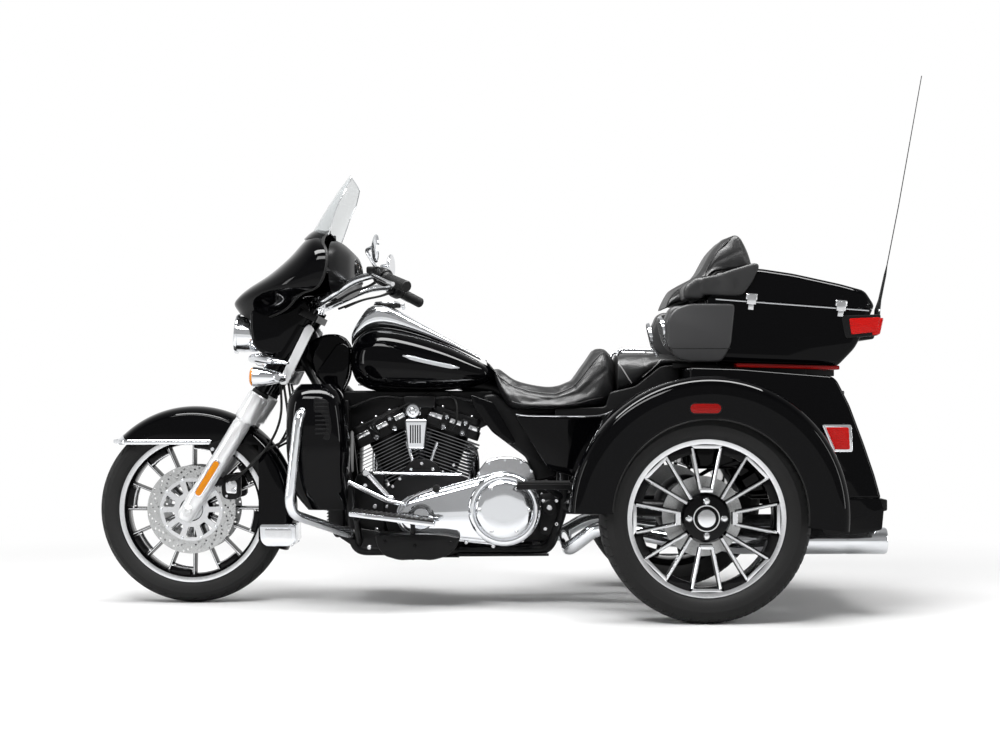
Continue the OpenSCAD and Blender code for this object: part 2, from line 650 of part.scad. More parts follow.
// Straight line down the rear of the trunk: place at height z
function rear_wall_x(z) = rear_axle_x - 583 + (z - 374) * 141 / 378;
module trunk_door() {
    g = panel_gap;
    color([0.05, 0.05, 0.06])
        side_plate(-330 + g, 330 - g) polygon([
            [rear_axle_x - 482, 722 - g], [rear_axle_x - 462, 722 - g], [rear_axle_x - 540, 392 + g],
            [rear_axle_x - 578, 392 + g], [rear_axle_x - 562, 450], [rear_axle_x - 529, 547], [rear_axle_x - 482, 673]
        ]);
}
module fender(s) {
    outer = overall_w / 2;
    r = fender_r;
    t = shell_t;
    color([0.05, 0.05, 0.06])
        mirror([0, s > 0 ? 0 : 1, 0])
            translate([rear_axle_x - 8, 0, rear_tyre_r + 6])
                rotate([90, 0, 0])
                    rotate(2)
                        mirror([0, 0, 1])
                            rotate_extrude(angle = 184, $fn = 96)
                                polygon([
                                    [r, trunk_half_w], [r, outer - 30], [r - 9, outer - 9], [r - 30, outer],
                                    [opening_r, outer - 8], [opening_r, outer - 8 - t], [r - 31, outer - t],
                                    [r - 11, outer - 12], [r - t, outer - 31], [r - t, trunk_half_w]
                                ]);
}
// Place of the top case's sloping rear wall at height z
function case_rear(z) = -1172 - (z - 905) * 33 / 80;
module rear_lamps() {
    color([0.7, 0.05, 0.05]) side_plate(-280, 280)
        polygon([
            [case_rear(958) - run_gap, 958], [-1242, 958], [-1228, 900], [-1200, 896],
            [case_rear(906) - run_gap, 906]
        ]);
    color([0.7, 0.05, 0.05])
        both_sides() side_plate(trunk_half_w, trunk_half_w + 14) polygon([
            [rear_axle_x - 400, 605], [rear_axle_x - 478, 605], [rear_axle_x - 482, 530], [rear_axle_x - 430, 530]
        ]);
}
// Height of the trunk's top at x
function trunk_top(x) = 790 - (rear_axle_x - 130 - x) * 24 / 295;
// Side outline of the top case below the lid, shrunk by t
module case_base_outline(t) {
    polygon([
        [-655 - t, 1026], [-655 - t, 830 + t], [-700, 812 + t], [-1090 + t, 800 + t], [-1146 + t, 858],
        [-1172 + t, 905], [-1205 + t, 985]
    ]);
}
// Height of the joint between the top case and its lid at x
function case_split(x) = 1027 + (x + 655) * 41 / 550;
module case_base() {
    w = case_half_w;
    color([0.05, 0.05, 0.06]) difference() {
        side_plate(-w, w) case_base_outline(0);
        side_plate(-w + case_t, w - case_t) {
            case_base_outline(case_t);
            polygon([[-655 - case_t, 1026], [-655 - case_t, 1060], [-1205 + case_t, 1020], [-1205 + case_t, 985]]);
        }
    }
    // Hinge barrels of the lid, on the right
    color([0.8, 0.8, 0.81]) for (x = [-760, -1060]) translate([x, -w - 6, case_split(x)]) {
        rotate([0, -90 - atan2(41, 550), 0]) cylinder(h = 60, r = 6 - run_gap);
        translate([-58, 0, -30]) cube([56, 7, 20]);
    }
    // Rack between the trunk and the case
    color([0.8, 0.8, 0.81]) for (s = [-1, 1]) side_plate(s * 200 - 12, s * 200 + 12)
        polygon([[-700, 812], [-1000, 802.8], [-1000, trunk_top(-1000)], [-752, trunk_top(-752)]]);
}
module case_lid_outline(t) {
    polygon([
        [-655 - t, 1028], [-690 - t, 1112 - t], [-835, 1121 - t], [-945, 1104 - t], [-1100, 1070 - t],
        [-1180 + t / 2, 1048 - t], [-1212 + t, 998], [-1205 + t, 987]
    ]);
}
module case_lid() {
    w = case_half_w;
    color([0.05, 0.05, 0.06]) difference() {
        side_plate(-w, w) case_lid_outline(0);
        side_plate(-w + case_t, w - case_t) {
            case_lid_outline(case_t);
            polygon([[-655 - case_t, 1028], [-1205 + case_t, 987], [-1205 + case_t, 900], [-655 - case_t, 900]]);
        }
    }
}
module backrest() {
    color([0.07, 0.07, 0.07]) {
        // Upright pad against the front of the lid
        side_plate(-170, 170) polygon([
            [-535, 985], [-530, 1010], [-560, 1060], [-655, 1107], [-700, 1190], [-770, 1258], [-800, 1245],
            [-845, 1122], [-690, 1113], [-655, 1030], [-560, 1000]
        ]);
        both_sides() side_plate(170, 262) polygon([
            [-590, 1035], [-620, 1075], [-680, 1098], [-654, 1030], [-600, 1012]
        ]);
    }
}
module speaker_pods() {
    color([0.25, 0.25, 0.26])
        both_sides() {
            side_plate(185, 290) polygon([[-655, 1007], [-540, 1000], [-515, 930], [-530, 860], [-590, 815], [-655, 830]]);
        }
}
module antenna() {
    y = case_half_w - 60;
    color([0.1, 0.1, 0.1]) {
        rod([-1230, y, 958], [-1230, y, 985], 10);
        rod([-1230, y, 985], [-1256, y, 1105], 4);
        rod([-1256, y, 1105], [-1376, y, antenna_z], 1.5);
    }
}
module lower_fairings() {
    color([0.05, 0.05, 0.06])
        both_sides() difference() {
            loft_z([
                [330, 560, 640, 250, 330, 3], [470, 590, 700, 225, 390, 3], [560, 505, 706, 215, 410, 3.4],
                [690, 520, 700, 215, 405, 3], [745, 560, 660, 240, 360, 2.6]
            ], 3, 20);
            guard_tube(16 + run_gap);
        }
}
// One side of the engine guard
module guard_tube(r) {
    pipe([[560, cradle_y, 640], [655, 425, 660], [690, 425, 330], [505, cradle_y, 236]], r, 60, [1, 0, 0]);
}
module engine_guard() {
    color([0.85, 0.85, 0.86])
        both_sides()
            guard_tube(16);
}
// Underside of the rider's footboards at x
function board_low(x) = 280 + (x - 223) * 35 / 277;
module rider_boards() {
    color([0.12, 0.12, 0.12])
        both_sides()
            side_plate(258, 390) polygon([[500, 333], [223, 298], [223, board_low(223)], [500, board_low(500)]]);
}
module passenger_board(s) {
    color([0.12, 0.12, 0.12])
        mirror([0, s > 0 ? 0 : 1, 0])
            side_plate(255, 380) polygon([[-38, 426], [-228, 426], [-228, 400], [-38, 400]]);
}

frame();
engine_case();
cylinders();
primary_cover();
air_cleaner();
horn_cover();
exhaust();
rear_axle();
fuel_tank();
console();
rider_seat();
passenger_seat();
side_covers();
trunk();
fender(1);  // fender_left
fender(-1);  // fender_right
rear_lamps();
case_base();
speaker_pods();
antenna();
lower_fairings();
engine_guard();
rider_boards();
fuel_door();
trunk_door();
case_lid();
backrest();
passenger_board(1);  // passenger_board_left
passenger_board(-1);  // passenger_board_right
fork();
front_fender();
fairing();
windshield();
dash();
front_lamps();
handlebar();
mirrors();
front_brakes();
front_tyre();
front_rim();
rear_tyre(1);  // rear_tyre_left
rear_rim(1);  // rear_rim_left
rear_tyre(-1);  // rear_tyre_right
rear_rim(-1);  // rear_rim_right
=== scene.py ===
# %% [markdown]
# # Dressing a touring trike
# The solids of a three-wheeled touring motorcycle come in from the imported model. This lesson gives them
# their looks: painted steel, chrome, cast engine parts, leather, rubber and glass. Everything is in metres,
# +X forward, +Y to the rider's left and +Z up, with the wheels standing on Z = 0.
# %% Load the frame
import math
import bmesh
import bpy
from mathutils import Matrix, Vector
from mathutils.bvhtree import BVHTree


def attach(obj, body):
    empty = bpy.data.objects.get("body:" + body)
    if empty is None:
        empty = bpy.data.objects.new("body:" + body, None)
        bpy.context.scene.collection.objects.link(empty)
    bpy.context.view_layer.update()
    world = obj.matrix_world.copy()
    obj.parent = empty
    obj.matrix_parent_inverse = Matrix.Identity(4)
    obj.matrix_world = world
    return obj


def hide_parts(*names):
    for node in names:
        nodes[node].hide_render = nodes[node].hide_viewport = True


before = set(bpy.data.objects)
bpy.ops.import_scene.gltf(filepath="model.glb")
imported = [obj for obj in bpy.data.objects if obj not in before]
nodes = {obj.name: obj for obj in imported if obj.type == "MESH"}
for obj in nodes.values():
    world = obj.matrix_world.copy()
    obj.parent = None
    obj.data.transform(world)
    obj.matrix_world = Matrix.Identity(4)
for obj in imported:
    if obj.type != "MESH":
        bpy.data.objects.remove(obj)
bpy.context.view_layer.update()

# %% [markdown]
# ## Helpers
# Sizes are written in millimetres, as on a drawing, and one number turns them to metres. `linear` turns the
# hex colours of a paint chart to the linear values that shaders use. `add` puts one node in a tree.
# %% Units, colours and nodes
MM = 0.001
SIDES = (-1, 1)


def linear(code, alpha=1.0):
    """An sRGB hex colour as linear red, green, blue and alpha."""
    parts = [int(code[i:i + 2], 16) / 255 for i in (1, 3, 5)]
    return (*[c / 12.92 if c <= 0.04045 else ((c + 0.055) / 1.055) ** 2.4 for c in parts], alpha)


def add(tree, kind, inputs=None, **settings):
    """One node with its settings; each input is a value or another node's output."""
    made = tree.nodes.new(kind)
    for name, value in settings.items():
        setattr(made, name, value)
    for name, value in (inputs or {}).items():
        if isinstance(value, bpy.types.NodeSocket):
            tree.links.new(value, made.inputs[name])
        else:
            made.inputs[name].default_value = value
    return made


# %% [markdown]
# A surface can be given as rings of points. `skin` joins equal rings into a closed tube, and its ends are
# capped with a fan. The same few functions make the tank, the bars, the tyres and the seats, so each shape
# below is only its list of sizes.
# %% Meshes from rings
def mesh_of(points, faces, name="part"):
    """A mesh from points in millimetres."""
    mesh = bpy.data.meshes.new(name)
    mesh.from_pydata([(p[0] * MM, p[1] * MM, p[2] * MM) for p in points], [], faces)
    return mesh


def skin(rings, around=True, ends=True, loop=False):
    """Faces through rings of equal count. around closes each ring, loop joins the last ring to the first."""
    n, m = len(rings[0]), len(rings)
    points = [p for ring in rings for p in ring]
    faces = []
    for i in range(m if loop else m - 1):
        for j in range(n if around else n - 1):
            a, b = i * n + j, i * n + (j + 1) % n
            c, d = ((i + 1) % m) * n + (j + 1) % n, ((i + 1) % m) * n + j
            faces.append((a, b, c, d))
    if ends and around and not loop:
        faces += [tuple(reversed(range(n))), tuple(range((m - 1) * n, m * n))]
    return mesh_of(points, faces)


def joined(*meshes):
    """One mesh out of several."""
    whole = bmesh.new()
    for mesh in meshes:
        whole.from_mesh(mesh)
    result = bpy.data.meshes.new("joined")
    whole.to_mesh(result)
    whole.free()
    return result


def placed(mesh, matrix):
    """The same mesh under a matrix; a mirrored one is turned right side out again."""
    copy = mesh.copy()
    copy.transform(matrix)
    if matrix.determinant() < 0:
        copy.flip_normals()
    return copy


def mirrored(mesh):
    """The mesh and its mirror image across the middle."""
    return joined(mesh, placed(mesh, Matrix.Scale(-1, 4, (0, 1, 0))))


# %% [markdown]
# A piece is an object that rides on one body. Its normals are made to face out, and edges sharper than an
# angle stay crisp, as on a real pressing or casting.
# %% Finished pieces
def piece(name, mesh, material, body, sharp=34, replaces=(), outward=True, bevel=0, levels=0):
    """Makes the object, gives it its finish and sets it on its body."""
    if outward:
        work = bmesh.new()
        work.from_mesh(mesh)
        bmesh.ops.remove_doubles(work, verts=work.verts, dist=2e-6)
        bmesh.ops.recalc_face_normals(work, faces=work.faces)
        work.to_mesh(mesh)
        work.free()
    mesh.name = name
    mesh.materials.clear()
    mesh.materials.append(material)
    mesh.shade_smooth()
    mesh.set_sharp_from_angle(angle=math.radians(sharp))
    made = bpy.data.objects.new(name, mesh)
    bpy.context.scene.collection.objects.link(made)
    if bevel:
        soft = made.modifiers.new("edges", "BEVEL")
        soft.width, soft.segments, soft.limit_method, soft.angle_limit = bevel * MM, 2, "ANGLE", math.radians(32)
        soft.harden_normals = True
    if levels:
        round_off = made.modifiers.new("rounding", "SUBSURF")
        round_off.levels = round_off.render_levels = levels
    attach(made, body)
    if replaces:
        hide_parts(*replaces)
    return made


# %% [markdown]
# Three ways to make a mesh cover most hard parts: `turned` spins a profile as a lathe does, `tube` runs a
# round section along a bent path, and `plate` cuts a flat outline, with holes, and gives it thickness and a
# small bevel. A flat curve object does the cutting, because it fills holes and rounds edges by itself.
# %% Lathe, pipe and plate
def turned(profile, centre, axis="Y", steps=96, closed=True):
    """Spins [along, radius] points about an axis through centre."""
    rings = []
    for k in range(steps):
        a = 2 * math.pi * k / steps
        ring = []
        for along, radius in profile:
            c, s = radius * math.cos(a), radius * math.sin(a)
            ring.append({"Y": (c, along, s), "X": (along, c, s), "Z": (c, s, along)}[axis])
        rings.append([tuple(p[i] + centre[i] for i in range(3)) for p in ring])
    return skin(rings, around=closed, ends=False, loop=True)


def smooth(points, steps):
    """A smooth curve through vectors of any length."""
    out = []
    for i in range(len(points) - 1):
        a, b = points[max(i - 1, 0)], points[i]
        c, d = points[i + 1], points[min(i + 2, len(points) - 1)]
        for s in range(steps):
            t = s / steps
            out.append([0.5 * (2 * b[k] + (c[k] - a[k]) * t + (2 * a[k] - 5 * b[k] + 4 * c[k] - d[k]) * t * t
                + (3 * b[k] - a[k] - 3 * c[k] + d[k]) * t ** 3) for k in range(len(b))])
    return out + [list(points[-1])]


def bent(corners, reach, steps=6):
    """A path whose corners are rounded over a length each side."""
    p = [Vector(c) for c in corners]
    out = [p[0]]
    for i in range(1, len(p) - 1):
        a = p[i] + (p[i - 1] - p[i]).normalized() * min(reach, (p[i - 1] - p[i]).length * 0.48)
        b = p[i] + (p[i + 1] - p[i]).normalized() * min(reach, (p[i + 1] - p[i]).length * 0.48)
        out += [(1 - t) ** 2 * a + 2 * t * (1 - t) * p[i] + t * t * b for t in [k / steps for k in range(steps + 1)]]
    return out + [p[-1]]


def tube(path, radius, sides=20):
    """A round section carried along a path without twisting; radius is a number or a list."""
    path = [Vector(p) for p in path]
    radii = radius if isinstance(radius, list) else [radius] * len(path)
    ahead = [(path[min(i + 1, len(path) - 1)] - path[max(i - 1, 0)]).normalized() for i in range(len(path))]
    across = ahead[0].orthogonal().normalized()
    rings = []
    for here, way, r in zip(path, ahead, radii):
        across = (across - way * across.dot(way)).normalized()
        up = way.cross(across)
        rings.append([here + r * (math.cos(2 * math.pi * k / sides) * across
            + math.sin(2 * math.pi * k / sides) * up) for k in range(sides)])
    return skin(rings)


def plate(loops, low, high, bevel=0.0):
    """A flat outline with holes, drawn in X and Z, from y = low to y = high."""
    curve = bpy.data.curves.new("outline", "CURVE")
    curve.dimensions, curve.fill_mode = "2D", "BOTH"
    curve.extrude = (high - low) / 2 * MM - bevel * MM
    curve.bevel_depth, curve.offset = bevel * MM, -bevel * MM
    curve.bevel_resolution = max(1, round(bevel / 4))
    for loop in loops:
        spline = curve.splines.new("POLY")
        spline.points.add(len(loop) - 1)
        for point, (x, z) in zip(spline.points, loop):
            point.co = (x * MM, z * MM, 0, 1)
        spline.use_cyclic_u = True
    holder = bpy.data.objects.new("outline", curve)
    bpy.context.scene.collection.objects.link(holder)
    made = bpy.data.meshes.new_from_object(holder.evaluated_get(bpy.context.evaluated_depsgraph_get()))
    bpy.data.objects.remove(holder)
    bpy.data.curves.remove(curve)
    made.transform(Matrix.Translation((0, (low + high) / 2 * MM, 0)) @ Matrix.Rotation(math.pi / 2, 4, "X"))
    return made


def circle(x, z, r, count=48):
    """A round outline."""
    return [(x + r * math.cos(2 * math.pi * k / count), z + r * math.sin(2 * math.pi * k / count))
        for k in range(count)]


def rounded(corners, reach, steps=5):
    """An outline whose corners are rounded over a length each side."""
    out = []
    for i, here in enumerate(corners):
        b, a, c = Vector(here), Vector(corners[i - 1]), Vector(corners[(i + 1) % len(corners)])
        p = b + (a - b).normalized() * min(reach, (a - b).length * 0.48)
        q = b + (c - b).normalized() * min(reach, (c - b).length * 0.48)
        out += [tuple((1 - t) ** 2 * p + 2 * t * (1 - t) * b + t * t * q) for t in [k / steps for k in range(steps + 1)]]
    return out


# %% [markdown]
# Bolts are everywhere on such a machine. `bolt` is a domed socket screw: a short turned head with a hexagon
# recess. It points along any direction, so one function serves covers, brackets and wheels.
# %% Bolts
def bolt(at, way=(0, 1, 0), radius=6.0, height=5.0):
    """A domed socket-head screw at a point, facing a way."""
    profile = [(0, 0.01), (0, radius), (height * 0.6, radius), (height, radius * 0.75), (height, radius * 0.45),
        (height * 0.5, radius * 0.42), (height * 0.5, 0.01)]
    head = turned(profile, (0, 0, 0), "Z", 14, closed=False)
    turn = Vector((0, 0, 1)).rotation_difference(Vector(way)).to_matrix().to_4x4()
    return placed(head, Matrix.Translation(Vector(at) * MM) @ turn)


# %% [markdown]
# ## Finishes
# Every material starts from the real one. Paint on such a machine is black base colour under a thick clear
# lacquer, so the base barely shows and the coat gives sharp reflections with a trace of orange peel, a waviness
# about 3 mm across. Chrome is plated over polished steel: a mirror with a slightly blue grey tint and faint
# polishing haze.
# %% Paint and chrome
def shader(name, **values):
    """A new material and its Principled shader, with plain socket values set."""
    material = bpy.data.materials.new(name)
    material.use_nodes = True
    surface = material.node_tree.nodes["Principled BSDF"]
    for key, value in values.items():
        surface.inputs[key.replace("_", " ")].default_value = value
    return material, material.node_tree, surface


def roughened(tree, surface, scale, low, high, bump=0.0, detail=4.0, stretch=(1, 1, 1)):
    """Noise of a real size, in patches per metre, that varies roughness and lifts the surface a little."""
    place = add(tree, "ShaderNodeTexCoord")
    spread = add(tree, "ShaderNodeMapping", {"Vector": place.outputs["Object"], "Scale": stretch})
    noise = add(tree, "ShaderNodeTexNoise", {"Vector": spread.outputs[0], "Scale": scale, "Detail": detail})
    ramp = add(tree, "ShaderNodeMapRange", {"Value": noise.outputs["Fac"], "From Min": 0.3, "From Max": 0.7,
        "To Min": low, "To Max": high})
    tree.links.new(ramp.outputs[0], surface.inputs["Roughness"])
    if bump:
        lift = add(tree, "ShaderNodeBump", {"Height": noise.outputs["Fac"], "Distance": bump * MM, "Strength": 1.0})
        tree.links.new(lift.outputs[0], surface.inputs["Normal"])
    return noise


paint, tree, surface = shader("black_enamel_under_lacquer", Base_Color=linear("#030304"), IOR=1.45,
    Coat_Weight=0.2, Coat_Roughness=0.02, Coat_IOR=1.5, Specular_IOR_Level=0.02)
roughened(tree, surface, 330, 0.05, 0.09, bump=0.004)
chrome, tree, surface = shader("chrome_plate", Base_Color=linear("#DADCDF"), Metallic=0.94)
roughened(tree, surface, 40, 0.045, 0.085, bump=0.002)
print("paint and chrome ready")

# %% [markdown]
# Cast and machined aluminium differ by their tool marks: castings are fine-grained and dull, and a face cut on
# a lathe has fine rings. Engine black is a baked wrinkle coat. Satin black covers brackets and controls.
# %% Castings and coatings
machined, tree, surface = shader("machined_aluminium", Base_Color=linear("#DADBDD"), Metallic=1.0)
roughened(tree, surface, 90, 0.16, 0.26, bump=0.003)
polished, tree, surface = shader("polished_aluminium", Base_Color=linear("#D8D9DB"), Metallic=1.0)
roughened(tree, surface, 60, 0.14, 0.22, bump=0.003)
slider_silver, tree, surface = shader("silver_slider_enamel", Base_Color=linear("#D9DADB"), Metallic=0.55,
    Coat_Weight=0.3)
roughened(tree, surface, 60, 0.28, 0.32)
disc_steel, tree, surface = shader("ground_brake_steel", Base_Color=linear("#B9BABA"), Metallic=1.0)
roughened(tree, surface, 700, 0.24, 0.36, bump=0.006)
wrinkle, tree, surface = shader("black_wrinkle_coat", Base_Color=linear("#080809"), Specular_IOR_Level=0.16)
roughened(tree, surface, 800, 0.38, 0.55, bump=0.05)
satin, tree, surface = shader("satin_black_powder_coat", Base_Color=linear("#09090A"), Specular_IOR_Level=0.16)
roughened(tree, surface, 600, 0.30, 0.42, bump=0.012)
rim_black, tree, surface = shader("gloss_black_wheel_enamel", Base_Color=linear("#060607"), Specular_IOR_Level=0.14)
roughened(tree, surface, 300, 0.12, 0.2, bump=0.005)
print("castings and coatings ready")

# %% [markdown]
# Tyre rubber is a dull black-grey whose sidewall is a shade lighter where it has been moulded smooth. Moulded
# ABS shows a fine spark-eroded grain of about half a millimetre. Seat leather (vinyl on such seats) has
# pebbles about 2 mm across with soft creases between, which a Voronoi distance draws well.
# %% Rubber, plastic and leather
rubber, tree, surface = shader("tyre_rubber", Base_Color=linear("#161616"), Specular_IOR_Level=0.2)
roughened(tree, surface, 500, 0.55, 0.75, bump=0.02)
grip_rubber, tree, surface = shader("moulded_rubber", Base_Color=linear("#0E0E0E"), Specular_IOR_Level=0.2)
roughened(tree, surface, 700, 0.45, 0.62, bump=0.02)
abs_grey, tree, surface = shader("grained_abs", Base_Color=linear("#2A2A2B"), Specular_IOR_Level=0.35)
roughened(tree, surface, 1300, 0.40, 0.52, bump=0.02, detail=2)
leather, tree, surface = shader("seat_vinyl", Base_Color=linear("#121213"), Specular_IOR_Level=0.36)
place = add(tree, "ShaderNodeTexCoord")
pebble = add(tree, "ShaderNodeTexVoronoi", {"Vector": place.outputs["Object"], "Scale": 420.0},
    feature="DISTANCE_TO_EDGE")
crease = add(tree, "ShaderNodeMapRange", {"Value": pebble.outputs["Distance"], "From Max": 0.12})
broad = add(tree, "ShaderNodeTexNoise", {"Vector": place.outputs["Object"], "Scale": 26.0, "Detail": 6.0})
lift = add(tree, "ShaderNodeBump", {"Height": crease.outputs[0], "Distance": 0.00012, "Strength": 0.7})
fold = add(tree, "ShaderNodeBump", {"Height": broad.outputs["Fac"], "Distance": 0.0009, "Strength": 0.5,
    "Normal": lift.outputs[0]})
tree.links.new(fold.outputs[0], surface.inputs["Normal"])
worn = add(tree, "ShaderNodeMapRange", {"Value": broad.outputs["Fac"], "From Min": 0.3, "From Max": 0.7,
    "To Min": 0.36, "To Max": 0.5})
tree.links.new(worn.outputs[0], surface.inputs["Roughness"])
print("rubber, plastic and leather ready")

# %% [markdown]
# Lamp lenses are clear moulded acrylic, red or amber, over a bright reflector, with prisms a few millimetres
# wide. Each lens also carries a faint painted glow in its own colour, standing in for light sent back through it
# by the reflector; the fork reflectors and gauge needles, which are no lamps, get it too. The windshield is clear
# polycarbonate. A render shows tinted glass well when most light goes straight through, so the windshield mixes
# a clear pass with a faint glossy one.
# %% Lenses and glass
def lens(name, code, glow):
    """Ribbed translucent acrylic in one colour, with a painted glow of that colour at strength glow."""
    material, tree, surface = shader(name, Base_Color=linear(code), Roughness=0.2, Specular_IOR_Level=0.15,
        Coat_Weight=0.15,
        Coat_Roughness=0.03, Subsurface_Weight=0.0)
    # Painted glow: a weak emission in the lens colour that stands in for light returned by the reflector.
    surface.inputs["Emission Color"].default_value = linear(code)
    surface.inputs["Emission Strength"].default_value = glow
    place = add(tree, "ShaderNodeTexCoord")
    ribs = add(tree, "ShaderNodeTexWave", {"Vector": place.outputs["Object"], "Scale": 55.0, "Distortion": 0.0},
        bands_direction="Z")
    lift = add(tree, "ShaderNodeBump", {"Height": ribs.outputs["Fac"], "Distance": 0.0006, "Strength": 0.6})
    tree.links.new(lift.outputs[0], surface.inputs["Normal"])
    return material


red_lens = lens("red_acrylic_lens", "#A80A06", 0.06)
deep_red_lens = lens("deep_red_acrylic_lens", "#7A0604", 0.05)
amber_lens = lens("amber_acrylic_lens", "#BE7410", 0.06)
clear_lens, tree, surface = shader("clear_headlamp_glass", Base_Color=linear("#F2F4F5"), Roughness=0.06,
    Coat_Weight=1.0, Metallic=0.55)
roughened(tree, surface, 150, 0.05, 0.2, bump=0.05)
windscreen, tree, surface = shader("clear_polycarbonate", Base_Color=linear("#C9CCCE"), Roughness=0.25,
    Specular_IOR_Level=0.2)
see = add(tree, "ShaderNodeBsdfTransparent", {"Color": linear("#F4F5F5")})
edge = add(tree, "ShaderNodeLayerWeight", {"Blend": 0.3})
share = add(tree, "ShaderNodeMapRange", {"Value": edge.outputs["Facing"], "To Min": 0.07, "To Max": 0.22})
both = add(tree, "ShaderNodeMixShader", {0: share.outputs[0], 1: see.outputs[0], 2: surface.outputs[0]})
tree.links.new(both.outputs[0], tree.nodes["Material Output"].inputs["Surface"])
print("lenses ready")

# %% [markdown]
# ## Studio
# The camera stands 6.2 m to the left of the trike at hub height and looks square across it, through a lens of
# about 65 mm. The floor is pale and melts into a white surround, so only a soft shadow shows. Where the camera
# looks past the trike it sees white. Mirrors on the trike see that white too, but a darker room on the side of
# the camera, and that contrast is what makes black paint read black and chrome read as chrome.
# %% Camera, floor and surround
lens_data = bpy.data.cameras.new("camera")
lens_data.lens, lens_data.sensor_width, lens_data.shift_y = 65.1, 36.0, 0.025
camera = bpy.data.objects.new("camera", lens_data)
camera.location, camera.rotation_euler = (0.0136, 6.2, 0.690), (math.radians(90), 0, math.radians(180))
bpy.context.scene.collection.objects.link(camera)
bpy.context.scene.camera = camera
bpy.context.scene.view_settings.view_transform = "Standard"

ground, tree, surface = shader("pale_studio_floor", Base_Color=linear("#E6E6E6"), Roughness=0.7,
    Specular_IOR_Level=0.1)
place = add(tree, "ShaderNodeTexCoord")
reach = add(tree, "ShaderNodeVectorMath", {0: place.outputs["Object"]}, operation="LENGTH")
fade = add(tree, "ShaderNodeMapRange", {"Value": reach.outputs["Value"], "From Min": 1.3, "From Max": 3.6},
    interpolation_type="SMOOTHSTEP")
glow = add(tree, "ShaderNodeEmission", {"Color": (1, 1, 1, 1), "Strength": 1.0})
mix = add(tree, "ShaderNodeMixShader", {0: fade.outputs[0], 1: surface.outputs[0], 2: glow.outputs[0]})
tree.links.new(mix.outputs[0], tree.nodes["Material Output"].inputs["Surface"])
floor_mesh = mesh_of([(-30000, -30000, 0), (30000, -30000, 0), (30000, 30000, 0), (-30000, 30000, 0)],
    [(0, 1, 2, 3)], "floor")
floor_mesh.materials.append(ground)
floor = bpy.data.objects.new("floor", floor_mesh)
bpy.context.scene.collection.objects.link(floor)

world = bpy.data.worlds.new("surround")
bpy.context.scene.world = world
world.use_nodes = True
tree = world.node_tree
place = add(tree, "ShaderNodeTexCoord")
axes = add(tree, "ShaderNodeSeparateXYZ", {"Vector": place.outputs["Generated"]})
low = add(tree, "ShaderNodeMapRange", {"Value": axes.outputs["Z"], "From Min": 0.3, "From Max": 0.8,
    "To Min": 1.0, "To Max": 0.4}, interpolation_type="SMOOTHSTEP")
near = add(tree, "ShaderNodeMapRange", {"Value": axes.outputs["Y"], "From Min": -0.1, "From Max": 0.45,
    "To Min": 1.0, "To Max": 0.42}, interpolation_type="SMOOTHSTEP")
room = add(tree, "ShaderNodeMath", {0: low.outputs[0], 1: near.outputs[0]}, operation="MULTIPLY")
rays = add(tree, "ShaderNodeLightPath")
shown = add(tree, "ShaderNodeMath", {0: room.outputs[0], 1: rays.outputs["Is Camera Ray"]}, operation="MAXIMUM")
soft = add(tree, "ShaderNodeMath", {0: shown.outputs[0], 1: rays.outputs["Is Diffuse Ray"]}, operation="MULTIPLY")
dimmed = add(tree, "ShaderNodeMath", {0: soft.outputs[0], 1: -0.3, 2: shown.outputs[0]}, operation="MULTIPLY_ADD")
tree.links.new(dimmed.outputs[0], tree.nodes["Background"].inputs["Strength"])
tree.nodes["Background"].inputs["Color"].default_value = (1, 1, 1, 1)
print("camera and surround ready")

# %% [markdown]
# Four lamps: a long strip overhead that draws the bright lines along the upper edges, a large soft key on the
# camera's side, and a low strip at each end for the wheels and the round tubes.
# %% Lamps


def lamp(name, at, aim, wide, high, watts, matt=True, gloss=True):
    """A soft rectangular lamp that the camera doesn't see; it can light matt surfaces, glossy ones or both."""
    data = bpy.data.lights.new(name, "AREA")
    data.shape, data.size, data.size_y, data.energy = "RECTANGLE", wide, high, watts
    made = bpy.data.objects.new(name, data)
    made.location = at
    made.rotation_euler = (Vector(aim) - Vector(at)).to_track_quat("-Z", "Y").to_euler()
    made.visible_camera, made.visible_diffuse, made.visible_glossy = False, matt, gloss
    bpy.context.scene.collection.objects.link(made)


lamp("overhead_strip", (-0.1, 0.8, 3.4), (-0.1, 0.3, 0.0), 4.4, 0.8, 520, matt=False)
lamp("overhead_panel", (0.0, 0.4, 4.6), (0.0, 0.2, 0.0), 5.0, 3.6, 260, gloss=False)
lamp("key_softbox", (1.4, 3.6, 4.0), (0.0, 0.3, 0.5), 2.6, 0.9, 190)
lamp("front_strip", (4.2, 2.0, 1.3), (0.6, 0.2, 0.6), 0.5, 2.2, 40)
lamp("rear_strip", (-4.2, 2.4, 1.4), (-0.6, 0.4, 0.6), 0.5, 2.2, 42)
print("lamps ready")

# %% [markdown]
# ## Repeats
# Fins, holes, bolts and disc sectors repeat exactly, so Geometry Nodes makes them: a row of points, the
# same part on each, turned or moved by one step more each time; the spokes and tread blocks, which repeat too,
# are made in plain loops. The inputs are named, so the count and the step are read straight off the drawing.
# The result is kept as a plain mesh.
# %% Patterns with Geometry Nodes
repeat = bpy.data.node_groups.new("repeat_part", "GeometryNodeTree")
for name, kind in (("Geometry", "NodeSocketGeometry"), ("Count", "NodeSocketInt"), ("Step", "NodeSocketVector"),
        ("Turn", "NodeSocketVector"), ("Material", "NodeSocketMaterial")):
    repeat.interface.new_socket(name, in_out="INPUT", socket_type=kind)
repeat.interface.new_socket("Geometry", in_out="OUTPUT", socket_type="NodeSocketGeometry")
given = add(repeat, "NodeGroupInput")
order = add(repeat, "GeometryNodeInputIndex")
shift = add(repeat, "ShaderNodeVectorMath", {0: given.outputs["Step"], 3: order.outputs[0]}, operation="SCALE")
row = add(repeat, "GeometryNodePoints", {"Count": given.outputs["Count"], "Position": shift.outputs[0]})
spin = add(repeat, "ShaderNodeVectorMath", {0: given.outputs["Turn"], 3: order.outputs[0]}, operation="SCALE")
